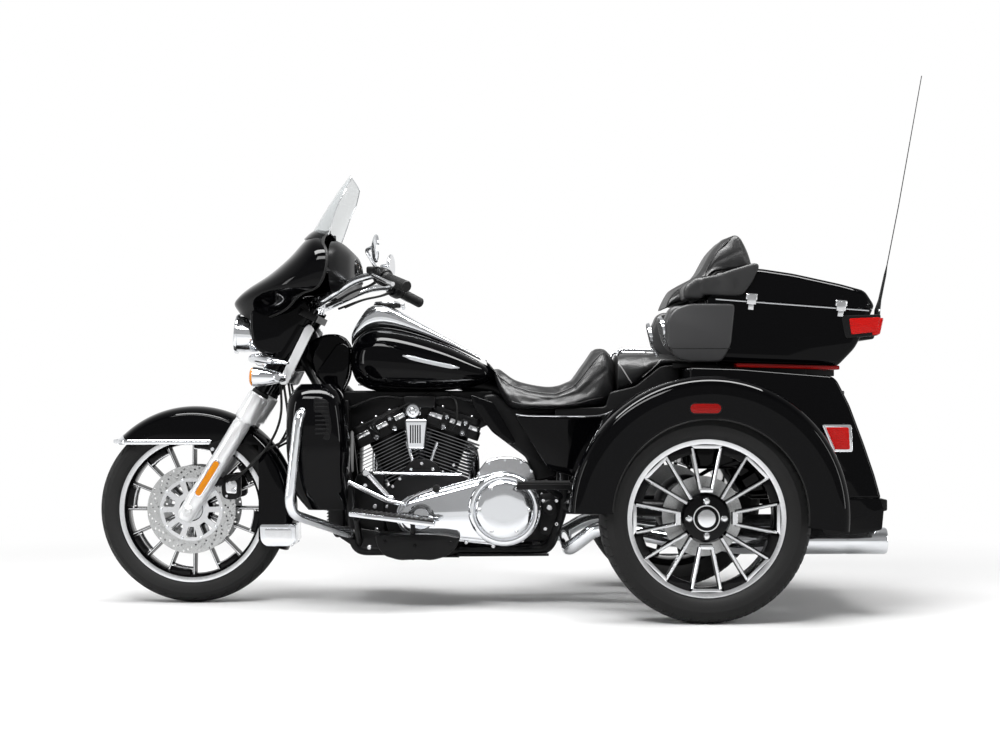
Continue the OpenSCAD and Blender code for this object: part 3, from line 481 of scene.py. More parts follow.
copies = add(repeat, "GeometryNodeInstanceOnPoints", {"Points": row.outputs[0], "Instance": given.outputs["Geometry"],
    "Rotation": spin.outputs[0]})
real = add(repeat, "GeometryNodeRealizeInstances", {"Geometry": copies.outputs[0]})
finish = add(repeat, "GeometryNodeSetMaterial", {"Geometry": real.outputs[0], "Material": given.outputs["Material"]})
add(repeat, "NodeGroupOutput", {"Geometry": finish.outputs[0]})


def pattern(part, count, step=(0, 0, 0), turn=(0, 0, 0), material=None):
    """count copies of a mesh, each moved by step millimetres and turned by turn degrees more than the last."""
    holder = bpy.data.objects.new("pattern", part)
    bpy.context.scene.collection.objects.link(holder)
    nodes_of = holder.modifiers.new("repeat", "NODES")
    nodes_of.node_group = repeat
    sockets = {s.name: s.identifier for s in repeat.interface.items_tree if s.in_out == "INPUT"}
    nodes_of[sockets["Count"]] = count
    nodes_of[sockets["Step"]] = [v * MM for v in step]
    nodes_of[sockets["Turn"]] = [math.radians(v) for v in turn]
    nodes_of[sockets["Material"]] = material or satin
    made = bpy.data.meshes.new_from_object(holder.evaluated_get(bpy.context.evaluated_depsgraph_get()))
    holder.modifiers.clear()
    bpy.data.objects.remove(holder)
    return made


def moved(mesh, x, y, z):
    """The mesh shifted by millimetres."""
    return placed(mesh, Matrix.Translation((x * MM, y * MM, z * MM)))


def box(x0, x1, y0, y1, z0, z1):
    """A block by its limits, for mesh parts that are bevelled or joined later."""
    corners = [(x, y, z) for x in (x0, x1) for y in (y0, y1) for z in (z0, z1)]
    return mesh_of(corners, [(0, 1, 3, 2), (4, 6, 7, 5), (0, 4, 5, 1), (2, 3, 7, 6), (0, 2, 6, 4), (1, 5, 7, 3)])


print("pattern tool ready")

# %% [markdown]
# ## Wheels
# A tyre is a closed profile spun round the axle. Its tread is cut by lowering the points that lie in a groove:
# straight grooves run round the rear tyres, and slanted ones cross the shoulders of the front tyre. The
# sidewall keeps two fine moulded ridges.
# %% Tyres


def tyre(profile, cut, steps=540):
    """Spins a profile; cut(angle, across) says how deep the tread is cut there, in millimetres."""
    rings = []
    for k in range(steps):
        a = 2 * math.pi * k / steps
        ring = []
        for across, radius in profile:
            r = radius - cut(math.degrees(a), across) if radius > profile[0][1] + 20 else radius
            ring.append((r * math.cos(a), across, r * math.sin(a)))
        rings.append(ring)
    return skin(rings, ends=False, loop=True)


def tyre_profile(r, w, bead, crown, flat, grooves):
    """Half profiles mirrored: bead, bulged sidewall with ridges, shoulder, crown with straight grooves, liner."""
    wall = [(0.37, bead), (0.435, bead + 7), (0.468, bead + 16), (0.47, bead + 17.5), (0.475, bead + 19),
        (0.488, bead + (r - bead) * 0.38), (0.4975, bead + (r - bead) * 0.52), (0.4985, bead + (r - bead) * 0.535),
        (0.495, bead + (r - bead) * 0.55), (0.488, bead + (r - bead) * 0.68), (0.468, r - crown * 1.25),
        (0.452, r - crown)]
    half = [(w * a, b) for a, b in wall]
    top, count = [], 22
    for i in range(1, count + 1):
        y = w * 0.452 * (1 - i / count)
        drop = crown * max(0.0, (y / w - flat) / (0.452 - flat)) ** 1.8
        top.append((y, r - drop))
    for y, wide, deep in grooves:
        top = [p for p in top if abs(p[0] - y) > wide / 2 + 1.5]
        top += [(y + wide / 2 + 0.6, None), (y + wide / 2 - 0.6, -deep), (y - wide / 2 + 0.6, -deep),
            (y - wide / 2 - 0.6, None)]
    top.sort(key=lambda p: -p[0])
    fixed = []
    for y, v in top:
        drop = crown * max(0.0, (abs(y) / w - flat) / (0.452 - flat)) ** 1.8
        fixed.append((y, r - drop + (v if v is not None and v < 0 else 0)))
    half += [p for p in fixed if p[0] > 0]
    mirror = [(-y, b) for y, b in reversed(half)]
    centre = [(0.0, r)] if not any(abs(g[0]) < 8 for g in grooves) else []
    inside = [(-w * 0.40, bead + 12), (-w * 0.43, bead + (r - bead) * 0.5), (-w * 0.36, r - 15), (0, r - 11),
        (w * 0.36, r - 15), (w * 0.43, bead + (r - bead) * 0.5), (w * 0.40, bead + 12)]
    return half + centre + mirror + inside


def rear_cut(angle, across):
    """Cross grooves of the rear tread blocks and shoulder slots."""
    y = abs(across)
    slant = angle + (across - 40) * 0.06
    if 54 < y < 103:
        return 4.0 if slant % 5.333 < 0.9 else 0.0
    if 12 < y < 44:
        return 3.0 if (angle - across * 0.09) % 5.333 < 0.75 else 0.0
    return 0.0


def front_cut(angle, across):
    """Slanted grooves that sweep from near the middle to the shoulder of the front tread."""
    y = abs(across)
    lean = angle + y * 0.24 + (5.0 if across < 0 else 0.0)
    if 9 < y < 56:
        return 3.6 if lean % 10 < 1.05 else 0.0
    return 0.0


front_r, front_w, rear_r, rear_w = 319.5, 130.0, 325.3, 215.0
front_axle, rear_axle = (1058.0, 0.0, 319.5), (-622.0, 556.0, 325.3)
front_tread = tyre(tyre_profile(front_r, front_w, 247, 21, 0.06, []), front_cut)
rear_tread = tyre(tyre_profile(rear_r, rear_w, 243, 12, 0.30, [(25, 8, 6), (62, 8, 6)]), rear_cut)
piece("tyre_front", moved(front_tread, *front_axle), rubber, "front_wheel", sharp=28, replaces=("front_tyre",))
for side, word in ((1, "left"), (-1, "right")):
    placed_tyre = moved(rear_tread, rear_axle[0], side * rear_axle[1], rear_axle[2])
    piece("tyre_rear_" + word, placed_tyre, rubber, "rear_wheel_" + word, sharp=28, replaces=("rear_tyre_" + word,))
print("tyres: front radius", front_r, "rear radius", rear_r)

# %% [markdown]
# The rims are cast and painted black, then turned and milled, so the lip and the ridge of every spoke are bright
# metal while their flanks stay black. A spoke is a tapered bar with a narrow bright cap. The rear rim has
# sixteen slim spokes in pairs: U-shaped pairs on the axes and V-shaped ones on the diagonals.
# %% Rims


def bar(a, b, wide, y_top, y_low):
    """A spoke flank from point a to b in the wheel's plane; wide at the foot, narrow at the top."""
    a, b = Vector((a[0], 0, a[1])), Vector((b[0], 0, b[1]))
    side = (b - a).normalized().cross(Vector((0, 1, 0)))
    rings = []
    for end in (a, b):
        rings.append([end - side * wide * 0.5 + Vector((0, y_low, 0)), end - side * wide * 0.24 + Vector((0, y_top,
            0)),
            end + side * wide * 0.24 + Vector((0, y_top, 0)), end + side * wide * 0.5 + Vector((0, y_low, 0))])
    return skin(rings)


def ridge(a, b, wide, y_top):
    """The bright milled top of a spoke, slightly proud, with softened edges."""
    return bar(a, b, wide, y_top + 1.2, y_top - 1.0)


def on_circle(radius, degrees):
    """A point of the wheel's plane."""
    return (radius * math.cos(math.radians(degrees)), radius * math.sin(math.radians(degrees)))


def pad(r0, r1, middle, half, y0, y1):
    """A block between two radii, used for the dark pads between the spokes' feet."""
    arc = [middle - half + i * half / 4 for i in range(9)]
    return plate([[on_circle(r1, a) for a in arc] + [on_circle(r0, a) for a in reversed(arc)]], y0, y1, 1.2)


def rear_rim_parts():
    """The rear rim about its own centre with its face to +Y, as black and bright meshes."""
    black, bright = [], []
    w, lip, face = 215.0, 248.0, 86.0
    black.append(turned([(-w * 0.36, lip - 8), (-w * 0.40, lip), (-w * 0.415, lip - 4), (-w * 0.40, lip - 22),
        (-w * 0.34, lip - 27), (0, lip - 29), (w * 0.30, lip - 28), (face - 14, lip - 24),
        (face - 3, lip - 20), (face - 3, lip - 2), (w * 0.36, lip - 8)], (0, 0, 0), steps=128))
    bright.append(turned([(face - 4, lip - 20), (face + 1.5, lip - 18.5), (face + 3, lip - 14), (face + 3.2, lip - 4),
        (face + 0.5, lip - 0.6), (face - 6, lip - 0.4), (face - 6, lip - 19)], (0, 0, 0), steps=160))
    for k in range(8):
        black.append(pad(203, 229, 22.5 + 45 * k, 9, face - 26, face - 1.5))
        bright.append(plate([[on_circle(r, 45 * k + s) for r, s in ((232, -13), (232, 13), (219, 10), (219, -10))]],
            face - 5, face + 2.0, 1.0))
    for k in range(4):
        for s in (-1, 1):
            foot, hub = on_circle(221, 90 * k + s * 11.5), on_circle(92, 90 * k + s * 11.5)
            black.append(bar(hub, foot, 15, face - 3, face - 30))
            bright.append(ridge(hub, foot, 9.5, face - 3))
            c, d = math.cos(math.radians(45 + 90 * k)), math.sin(math.radians(45 + 90 * k))
            foot = (221 * c - s * 46 * d, 221 * d + s * 46 * c)
            hub = (76 * c - s * 9 * d, 76 * d + s * 9 * c)
            black.append(bar(hub, foot, 15, face - 3, face - 30))
            bright.append(ridge(hub, foot, 9.5, face - 3))
        ends = [on_circle(90, 90 * k - 12.5), on_circle(90, 90 * k + 12.5)]
        black.append(bar(ends[0], ends[1], 18, face - 3, face - 30))
        bright.append(ridge(ends[0], ends[1], 15, face - 3.2))
    black.append(turned([(face - 62, 8), (face - 62, 78), (face - 30, 78), (face - 9, 70), (face - 7, 62), (face - 7,
        8)],
        (0, 0, 0), steps=96))
    black.append(turned([(-40, 50), (-40, 62), (-20, 72), (face - 60, 60), (face - 60, 40)], (0, 0, 0), steps=64))
    bright.append(turned([(face - 8, 0.01), (face + 4, 0.01), (face + 4, 22), (face + 2.5, 27), (face - 2, 29),
        (face - 8, 30)], (0, 0, 0), steps=64, closed=False))
    bright.append(turned([(face - 8, 37), (face - 4, 38), (face - 4, 41), (face - 8, 42)], (0, 0, 0), steps=64))
    nut = turned([(face - 10, 0.01), (face - 10, 12), (face + 2, 11), (face + 6, 8), (face + 7, 0.01)], (54, 0, 0),
        steps=24, closed=False)
    bright.append(pattern(nut, 4, turn=(0, 90, 0), material=machined))
    return joined(*black), joined(*bright)


rear_black, rear_bright = rear_rim_parts()
drum = joined(turned([(-40, 74), (-40, 126), (-46, 126), (-46, 74)], (0, 0, 0), steps=96),
    turned([(-41, 50), (-41, 76), (-38, 76), (-38, 50)], (0, 0, 0), steps=64))
for side, word in ((1, "left"), (-1, "right")):
    turn = Matrix.Translation((rear_axle[0] * MM, side * rear_axle[1] * MM, rear_axle[2] * MM)) \
        @ Matrix.Scale(side, 4, (0, 1, 0))
    body, node = "rear_wheel_" + word, "rear_rim_" + word
    piece("rim_rear_" + word, placed(rear_black, turn), rim_black, body, replaces=(node,))
    piece("rim_rear_bright_" + word, placed(rear_bright, turn), machined, body, sharp=30)
    piece("brake_disc_rear_" + word, placed(drum, turn), disc_steel, body)


def front_rim_parts():
    """The front rim about its own centre, the same from both sides, with its discs."""
    black, bright = [], []
    w, lip, turn0 = 130.0, 250.0, 11.0
    black.append(turned([(-w * 0.36, lip - 8), (-w * 0.40, lip), (-w * 0.415, lip - 4), (-w * 0.40, lip - 20),
        (-w * 0.34, lip - 26), (0, lip - 29), (w * 0.34, lip - 26), (w * 0.40, lip - 20),
        (w * 0.415, lip - 4), (w * 0.40, lip), (w * 0.36, lip - 8), (0, lip - 14)], (0, 0, 0), steps=128))
    for s in SIDES:
        bright.append(turned([(s * 50, lip - 19), (s * 54.2, lip - 17.5), (s * 55.4, lip - 9), (s * 55, lip - 1.5),
            (s * 52, lip - 0.5)],
            (0, 0, 0), steps=160))
    for k in range(8):
        middle = turn0 + 45 * k
        black.append(pad(207, 229, middle, 8.5, -44, 44))
        bright.append(joined(pad(203, 208, middle, 10.5, 27, 31), pad(203, 208, middle, 10.5, -31, -27)))
        for s in (-1, 1):
            hub, foot = on_circle(58, middle + s * 13), on_circle(224, middle + s * 11.2)
            for side in SIDES:
                black.append(bar(hub, foot, 14, side * 30, 0))
                bright.append(ridge(hub, foot, 6, side * 30) if side > 0 else
                    placed(ridge(hub, foot, 6, 30), Matrix.Scale(-1, 4, (0, 1, 0))))
    black.append(turned([(-34, 18), (-34, 58), (-24, 66), (24, 66), (34, 58), (34, 18)], (0, 0, 0), steps=72))
    bright.append(turned([(-74, 16), (-74, 36), (-36, 42), (36, 42), (74, 36), (74, 16)], (0, 0, 0), steps=64))
    return joined(*black), joined(*bright)


front_black, front_bright = front_rim_parts()
piece("rim_front", moved(front_black, *front_axle), rim_black, "front_wheel", replaces=("front_rim",))
piece("rim_front_bright", moved(front_bright, *front_axle), machined, "front_wheel", sharp=30)
print("rims ready")

# %% [markdown]
# Brake discs are ground steel with rows of drilled holes, held by an aluminium carrier with windows. One sector
# of the disc, with its share of the holes, is cut flat and then repeated round the hub.
# %% Brake discs
sector = 360 / 10
arc = [i * sector / 8 for i in range(9)]
band = [on_circle(149, a) for a in arc] + [on_circle(105, a) for a in reversed(arc)]
holes = [circle(*on_circle(r, a), 3.6, 10) for r, a in ((112, 5), (120, 11), (128, 17), (136, 23), (143, 29), (116,
    29),
    (124, 33), (138, 8), (130, 3))]
slice_of_disc = plate([band] + holes, -2.4, 2.4)
rotor = pattern(slice_of_disc, 10, turn=(0, sector, 0), material=disc_steel)
arc = [i * sector / 6 for i in range(7)]
rib = [on_circle(106, a) for a in arc] + [on_circle(40, a) for a in reversed(arc)]
window = rounded([on_circle(96, 6), on_circle(96, 30), on_circle(60, 28), on_circle(60, 8)], 5, 3)
carrier = pattern(plate([rib, list(reversed(window))], -3.2, 3.2), 10, turn=(0, sector, 0), material=machined)
button = turned([(3, 0.01), (6, 0.01), (6, 5), (3, 6)], (102, 0, 0), steps=14, closed=False)
buttons = pattern(button, 10, turn=(0, sector, 0), material=machined)
for side, word in ((1, "left"), (-1, "right")):
    turn = Matrix.Translation((1.058, side * 0.078, 0.3195)) @ Matrix.Scale(side, 4, (0, 1, 0))
    piece("brake_disc_front_" + word, placed(rotor, turn), disc_steel, "front_wheel")
    piece("disc_carrier_front_" + word, placed(carrier, turn), machined, "front_wheel")
    piece("disc_buttons_front_" + word, placed(buttons, turn), chrome, "front_wheel")
print("brake discs ready")

# %% [markdown]
# ## Shaping tools for bodywork
# Bodywork is pressed sheet or moulded plastic. `thick` gives a surface its wall, `spun` turns a profile about
# any line, `strip` lays a slim trim along a path, and `loft` runs a rounded-square section through stations.
# %% Sheet, trim and loft


def kept(mesh, kind, **settings):
    """The mesh after one modifier, as a plain mesh."""
    holder = bpy.data.objects.new("shaping", mesh)
    bpy.context.scene.collection.objects.link(holder)
    change = holder.modifiers.new("shaping", kind)
    for name, value in settings.items():
        setattr(change, name, value)
    made = bpy.data.meshes.new_from_object(holder.evaluated_get(bpy.context.evaluated_depsgraph_get()))
    bpy.data.objects.remove(holder)
    return made


def thick(mesh, wall, inward=-1):
    """A surface with a wall, grown to its inner side."""
    return kept(mesh, "SOLIDIFY", thickness=wall * MM, offset=inward, use_even_offset=True)


def softened(mesh, width, segments=2):
    """Rounded edges wherever faces meet at more than 32 degrees."""
    return kept(mesh, "BEVEL", width=width * MM, segments=segments, limit_method="ANGLE",
        angle_limit=math.radians(32))


def spun(a, b, profile, steps=40):
    """A [distance, radius] profile turned about the line from a towards b; it starts and ends on the line."""
    mesh = turned(profile, (0, 0, 0), "Z", steps, closed=False)
    turn = Vector((0, 0, 1)).rotation_difference(Vector(b) - Vector(a)).to_matrix().to_4x4()
    return placed(mesh, Matrix.Translation(Vector(a) * MM) @ turn)


def strip(path, out, wide, proud, up=None):
    """A slim moulding along a path; out is its facing, wide its height, proud its thickness."""
    path, rings = [Vector(p) for p in path], []
    for i, here in enumerate(path):
        way = (path[min(i + 1, len(path) - 1)] - path[max(i - 1, 0)]).normalized()
        face = Vector(out[i] if isinstance(out, list) else out).normalized()
        face = (face - way * face.dot(way)).normalized()
        side = way.cross(face) if up is None else Vector(up)
        shape = [(-0.5, 0), (-0.5, 0.55), (-0.36, 0.95), (0, 1.1), (0.36, 0.95), (0.5, 0.55), (0.5, 0)]
        rings.append([here + side * wide * a + face * proud * b for a, b in shape])
    return skin(rings)


def squarish(angle, power):
    """A point of a unit rounded square."""
    c, s = math.cos(angle), math.sin(angle)
    return math.copysign(abs(c) ** (2 / power), c), math.copysign(abs(s) ** (2 / power), s)


def loft(stations, steps=6, count=48, axis="X", ends=6):
    """Sections at [place, half width, low, high, power] along X, or [z, back, front, in, out, power] along Z."""
    rings = []
    rows = smooth([list(map(float, s)) for s in stations], steps)
    if axis == "X":
        for x, wide, low, high, power in rows:
            ring = []
            for k in range(count):
                c, s = squarish(2 * math.pi * k / count, power)
                ring.append((x, wide * c, (low + high) / 2 + (high - low) / 2 * s))
            rings.append(ring)
    else:
        for z, back, front, inner, outer, power in rows:
            ring = []
            for k in range(count):
                c, s = squarish(2 * math.pi * k / count, power)
                ring.append(((back + front) / 2 + (front - back) / 2 * c,
                    (inner + outer) / 2 + (outer - inner) / 2 * s, z))
            rings.append(ring)
    for end in (0, -1):
        middle = Vector((0, 0, 0))
        for p in rings[end]:
            middle += Vector(p) / count
        caps = []
        for i in range(1, ends + 1):
            t = 1 - (i / ends) ** 1.0
            caps.append([tuple(middle + (Vector(p) - middle) * t) for p in rings[end]] if t > 0 else
                [tuple(middle + (Vector(p) - middle) * 0.02) for p in rings[end]])
        rings = list(reversed(caps)) + rings if end == 0 else rings + caps
    return skin(rings)


print("bodywork tools ready")

# %% [markdown]
# ## Fork and brakes
# The two sliders are polished tubes that carry the axle and the calipers. They slope with the steering head.
# Above them the upper tubes run under painted covers to the yokes.
# %% Fork
FORK = math.tan(math.radians(31.5))


def leg(z, side, out=0.0):
    """A point on a fork leg's middle line, or out millimetres to its outside."""
    return Vector((1058 - (z - 319.5) * FORK, side * (128 + out), z))


polish, covers, seals, small = [], [], [], []
for side in SIDES:
    a, b = leg(289.5, side), leg(1000, side)
    polish.append(spun(a, b, [(0, 0.1), (0, 22), (6, 27), (18, 29.4), (70, 30), (300, 29.6), (330, 30), (372, 30),
        (376, 28.4),
        (386, 28.4), (390, 33), (396, 36), (470, 37), (486, 36), (490, 32), (490, 0.1)]))
    seals.append(spun(leg(289.5, side), b, [(489, 0.1), (489, 30), (500, 29.5), (504, 25.2), (504, 0.1)]))
    covers.append(spun(a, b, [(500, 0.1), (500, 24.8), (506, 30), (640, 32), (760, 32), (766, 26), (830, 24.8), (833,
        23), (833, 0.1)]))
    for y0, y1, r in ((88, 168, 19), (84, 92, 15)):
        small.append(turned([(y0, 0.1), (y0, r * 0.9), (y0 + 3, r), (y1 - 4, r), (y1, r - 4), (y1, 0.1)],
            (1058, 0, 319.5), steps=40, closed=False) if side > 0 else
            placed(turned([(y0, 0.1), (y0, r * 0.9), (y0 + 3, r), (y1 - 4, r), (y1, r - 4), (y1, 0.1)],
            (1058, 0, 319.5), steps=40, closed=False), Matrix.Scale(-1, 4, (0, 1, 0))))
    small.append(bolt((1058, side * 167, 319.5), (0, side, 0), 12, 6))
    small.append(spun(leg(352, side), leg(380, side), [(0, 0.1), (0, 31.5), (6, 32), (20, 32), (26, 31), (26, 0.1)]))
piece("fork_sliders", joined(*polish, *small), slider_silver, "steering", replaces=("fork",))
piece("fork_covers", joined(*covers), paint, "steering")
piece("fork_seals", joined(*seals), grip_rubber, "steering")
yokes = []
for z in (770, 985):
    base, hold = Vector((1157 - z * math.tan(math.radians(26)), 0, z)), leg(z, 1)
    back = hold.x - base.x
    outline = rounded([(36, -40), (back + 34, -168), (back - 34, -168), (-38, -40), (-38, 40), (back - 34, 168),
        (back + 34, 168), (36, 40)], 16)
    flat = plate([outline], -12, 12, 2.5)
    turn = Matrix.Translation(base * MM) @ Matrix.Rotation(math.radians(-26), 4, "Y") \
        @ Matrix.Rotation(math.radians(-90), 4, "X")
    yokes.append(placed(flat, turn))
steer = spun((1157 - 755 * math.tan(math.radians(26)), 0, 755), (1157 - 1000 * math.tan(math.radians(26)), 0, 1000),
    [(0, 0.1), (0, 14), (272, 14), (272, 0.1)])
piece("fork_yokes", joined(*yokes, steer), satin, "steering")

# Amber reflectors sit along the sliders in a dark bezel.
lean = Vector((-math.sin(math.radians(31.5)), math.cos(math.radians(31.5))))
cross = Vector((lean.y, -lean.x))


def capsule(middle, half, wide):
    """A long rounded outline lying along the slider."""
    out = []
    for end in (1, -1):
        for i in range(9):
            a = math.pi * (i / 8 - 0.5)
            out.append(Vector(middle) + end * lean * (half - wide + wide * math.cos(a)) + end * cross * wide * math.sin(a))
    return [tuple(p) for p in out]


heart = (leg(428, 1).x, 428)
piece("reflector_bezels", mirrored(plate([capsule(heart, 70, 14)], 155, 160.5, 1.2)), chrome, "steering")
piece("reflectors", mirrored(plate([capsule(heart, 66, 10.5)], 158, 163, 1.5)), amber_lens, "steering")

# %% [markdown]
# Each caliper is a cast block over the disc's edge with a machined face, two bridge bolts and a hose. Its slot is
# left open, so the disc turns through it.
# %% Calipers and brake hoses
shape = rounded([(1058 - 166, 358), (1058 - 168, 412), (1058 - 150, 440), (1058 - 116, 438), (1058 - 102, 420),
    (1058 - 106, 362), (1058 - 130, 352)], 14)
outer = plate([shape], 84, 95, 2.2)
inner = plate([shape], 61, 72, 2.2)
bridge = plate([rounded([(890, 366), (890, 430), (900, 436), (902, 366)], 3)], 66, 90, 1.0)
lug = plate([rounded([(948, 400), (1004, 400), (1004, 430), (948, 430)], 8)], 88, 97, 1.5)
piece("calipers", mirrored(joined(outer, inner, bridge, lug)), satin, "steering", replaces=("front_brakes",))
face = plate([rounded([(903, 374), (901, 408), (912, 424), (932, 422), (940, 410), (938, 376)], 8)], 94, 96.5, 0.8)
caps = joined(bolt((912, 96, 386), (0, 1, 0), 8, 5), bolt((926, 96, 410), (0, 1, 0), 8, 5),
    bolt((976, 96, 415), (0, 1, 0), 7, 5), bolt((936, 96, 366), (0, 1, 0), 5, 4))
piece("caliper_faces", mirrored(joined(face, caps)), machined, "steering")
hoses = [tube(bent(path, 50, 10), 4.2, 12) for path in
    ([(920, 98, 420), (880, 150, 436), (808, 150, 520), (716, 150, 560), (722, 150, 640), (742, 112, 745)],
    [(936, 98, 414), (840, 158, 470), (770, 158, 560), (742, 158, 640), (752, 112, 750)])]
piece("brake_hoses", mirrored(joined(*hoses)), grip_rubber, "steering")
print("fork and brakes ready")

# %% [markdown]
# ## Front mudguard
# A pressed steel guard follows the tyre from in front of the axle round to low behind it. Its skirt ends on a
# level line ahead of the fork, where a chrome trim runs, and on an upright line behind. A chrome tip closes it.
# %% Front mudguard


def guard_rings(first, last, step, grow=0.0, wall=4.0):
    """Sections of the mudguard between two angles; grow lifts them off, for trims that wrap the guard."""
    rings = []
    angles = [first + (last - first) * i / step for i in range(step + 1)]
    for angle in angles:
        a = math.radians(angle)
        low = 200.0
        level = 220 / max(math.sin(a), 0.01) if math.sin(a) > 0 else 1e6
        upright = 228 / max(-math.cos(a), 0.01) if math.cos(a) < 0 else 1e6
        low = max(low, min(level, upright))
        outer, inner = [], []
        for i in range(25):
            b = math.radians(i * 7.5)
            flat = math.cos(b) * (0.82 + 0.18 * abs(math.cos(b)))
            outer.append(((86 + grow) * flat, max(316 + (34 + grow) * math.sin(b), low)))
            inner.append(((86 - wall + grow) * flat, max(316 - wall + grow + (34) * math.sin(b), low)))
        skirt = [low, low + (316 - low) * 0.5] if low < 316 else [low, low]
        ring = [(86 + grow, r) for r in skirt] + outer + [(-86 - grow, r) for r in reversed(skirt)]
        ring += [(-86 + wall - grow, r) for r in skirt] + list(reversed(inner)) + [(86 - wall + grow,
            r) for r in reversed(skirt)]
        rings.append([(1058 + r * math.cos(a), y, 319.5 + r * math.sin(a)) for y, r in ring])
    return rings


piece("mudguard_front", skin(guard_rings(42, 204, 96)), paint, "steering", sharp=40, replaces=("front_fender",))
trim = []
for i in range(25):
    x = 992 + (1304 - 992) * i / 24
    r = math.hypot(x - 1058, 546 - 319.5)
    rise = min(max((r - 316) / 34, 0), 0.995)
    b = math.asin(rise)
    y = 86 * math.cos(b) * (0.82 + 0.18 * math.cos(b))
    trim.append((x, y - 0.5, 547))
piece("mudguard_trim", mirrored(strip(trim, (0, 1, 0), 17, 5, up=(0, 0, 1))), chrome, "steering", sharp=50)
nose = joined(skin(guard_rings(42, 46.5, 4, 2.2, 3.0)), loft([[1296, 40, 540, 556, 3], [1316, 32, 539, 558, 3], [1336,
    14, 542, 555, 2.6]], 6, 40))
tip_side = rounded([(705, 270), (826, 270), (822, 214), (806, 196), (722, 196), (705, 214)], 12)
tip_back = rounded([(705, 268), (714, 268), (712, 198), (722, 196), (716, 194), (704, 212)], 3)
tip = joined(mirrored(plate([tip_side], 86.5, 92, 2)), plate([tip_back], -88, 88, 1.5))
piece("mudguard_tip", joined(tip, nose), chrome, "steering", sharp=40)
inset = plate([rounded([(718, 256), (808, 256), (806, 220), (796, 208), (726, 208), (718, 218)], 8)], 91.6, 93.4, 0.6)
piece("mudguard_tip_inset", mirrored(inset), polished, "steering")
bracket = plate([rounded([(985, 500), (1000, 540), (952, 556), (930, 560), (938, 520)], 8)], 86, 97, 1.0)
heads = joined(*[bolt((x, 97, z), (0, 1, 0), 7, 5) for x, z in ((984, 524), (944, 546), (958, 520))])
piece("mudguard_brackets", mirrored(bracket), satin, "steering")
piece("mudguard_bolts", mirrored(heads), chrome, "steering")
print("mudguard ready")

# %% [markdown]
# ## Fairing and windshield
# The fairing is one moulded shell that rides on the fork. Its rows run from the nose line to the edge that faces
# the rider, nearly level ones first. The windshield continues the same surface upwards as a clear sheet.
# %% Fairing


def shell_grid(rows, across=26, between=6):
    """A surface through rows of [nose x, nose z, edge x, edge y, edge z], mirrored over the middle."""
    grid = []
    for nose_x, nose_z, edge_x, edge_y, edge_z in smooth([list(map(float, r)) for r in rows], between):
        half = []
        for i in range(across + 1):
            t = i / across
            a = math.pi / 2 * t
            half.append((edge_x + (nose_x - edge_x) * math.cos(a) ** 0.85 if t < 1 else edge_x,
                edge_y * math.sin(a), nose_z + (edge_z - nose_z) * t * t))
        grid.append([(x, -y, z) for x, y, z in reversed(half[1:])] + half)
    return skin(grid, around=False, ends=False)


fairing_rows = [
    [903, 985, 838, 112, 953], [921, 1014, 730, 205, 988], [908, 1036, 668, 285, 1036], [870, 1067, 604, 348, 1059],
    [802, 1108, 578, 365, 1112], [733, 1163, 576, 352, 1168], [682, 1218, 592, 305, 1202], [648, 1252, 596, 205, 1234],
    [600, 1268, 590, 95, 1258]]
shell = shell_grid(fairing_rows)
facing = sum((p.normal.x for p in shell.polygons))
if facing < 0:
    shell.flip_normals()
piece("fairing_shell", thick(shell, 4), paint, "steering", sharp=60, replaces=("fairing",))
screen_rows = [[653.5, 1255.3, 580, 226, 1235.3], [612, 1320, 560, 238, 1295], [580, 1366, 544, 238, 1340],
    [549, 1410, 524, 225, 1382], [520, 1449, 508, 175, 1428]]
screen = shell_grid(screen_rows)
if sum((p.normal.x for p in screen.polygons)) < 0:
    screen.flip_normals()
piece("windshield_sheet", thick(screen, 3.5), windscreen, "steering", sharp=60, replaces=("windshield",))
rim_line = [(c, s, e + 1) for _, _, c, s, e in smooth([list(map(float, r)) for r in screen_rows], 8)]
top_row = screen_rows[-1]
top_line = [(top_row[2] + (top_row[0] - top_row[2]) * math.cos(math.pi / 2 * t) ** 0.85 if t < 1 else top_row[2],
    top_row[3] * math.sin(math.pi / 2 * t),
    top_row[1] + (top_row[4] - top_row[1]) * t * t) for t in [1 - i / 24 for i in range(25)]]
piece("windshield_rim", mirrored(joined(tube(rim_line, 1.8, 8), tube(top_line, 1.8, 8))), polished, "steering")
cheek = plate([rounded([(852, 985), (846, 892), (826, 854), (790, 838), (744, 838), (712, 872), (674, 926), (640, 985),
    (664, 1040), (760, 1040)], 22)], 116, 158, 14)
piece("fairing_cheeks", mirrored(softened(cheek, 1)), paint, "steering", sharp=50)
brace = plate([rounded([(634, 926), (650, 944), (664, 936), (754, 752), (744, 740), (722, 744)], 7)], 150, 163, 3)
piece("fork_braces", mirrored(brace), slider_silver, "steering", sharp=50)

# %% [markdown]
# A dark cap with a vent covers the joint at the windshield's foot, and a soft edging runs round the fairing's rear
# edge. The inner panel carries the gauges: a dished face, a bright bezel and a clear glass each.
# %% Fairing edges, cap and gauges
edge_line = []
for nose_x, nose_z, edge_x, edge_y, edge_z in smooth([list(map(float, r)) for r in fairing_rows], 8):
    edge_line.append((edge_x - 1, edge_y - 2.5, edge_z))
piece("fairing_edging", mirrored(tube(edge_line, 5.0, 10)), grip_rubber, "steering")
cap_rows = [[676, 1230, 600, 262, 1216], [664, 1244, 596, 236, 1228], [651, 1256, 588, 205, 1240], [641, 1262, 584,
    180, 1248]]
cap = shell_grid([[a + 3, b + 3, c + 2, d, e + 2] for a, b, c, d, e in cap_rows], 22, 4)
if sum((p.normal.x for p in cap.polygons)) < 0:
    cap.flip_normals()
piece("vent_cap", thick(cap, 4), paint, "steering", sharp=60)
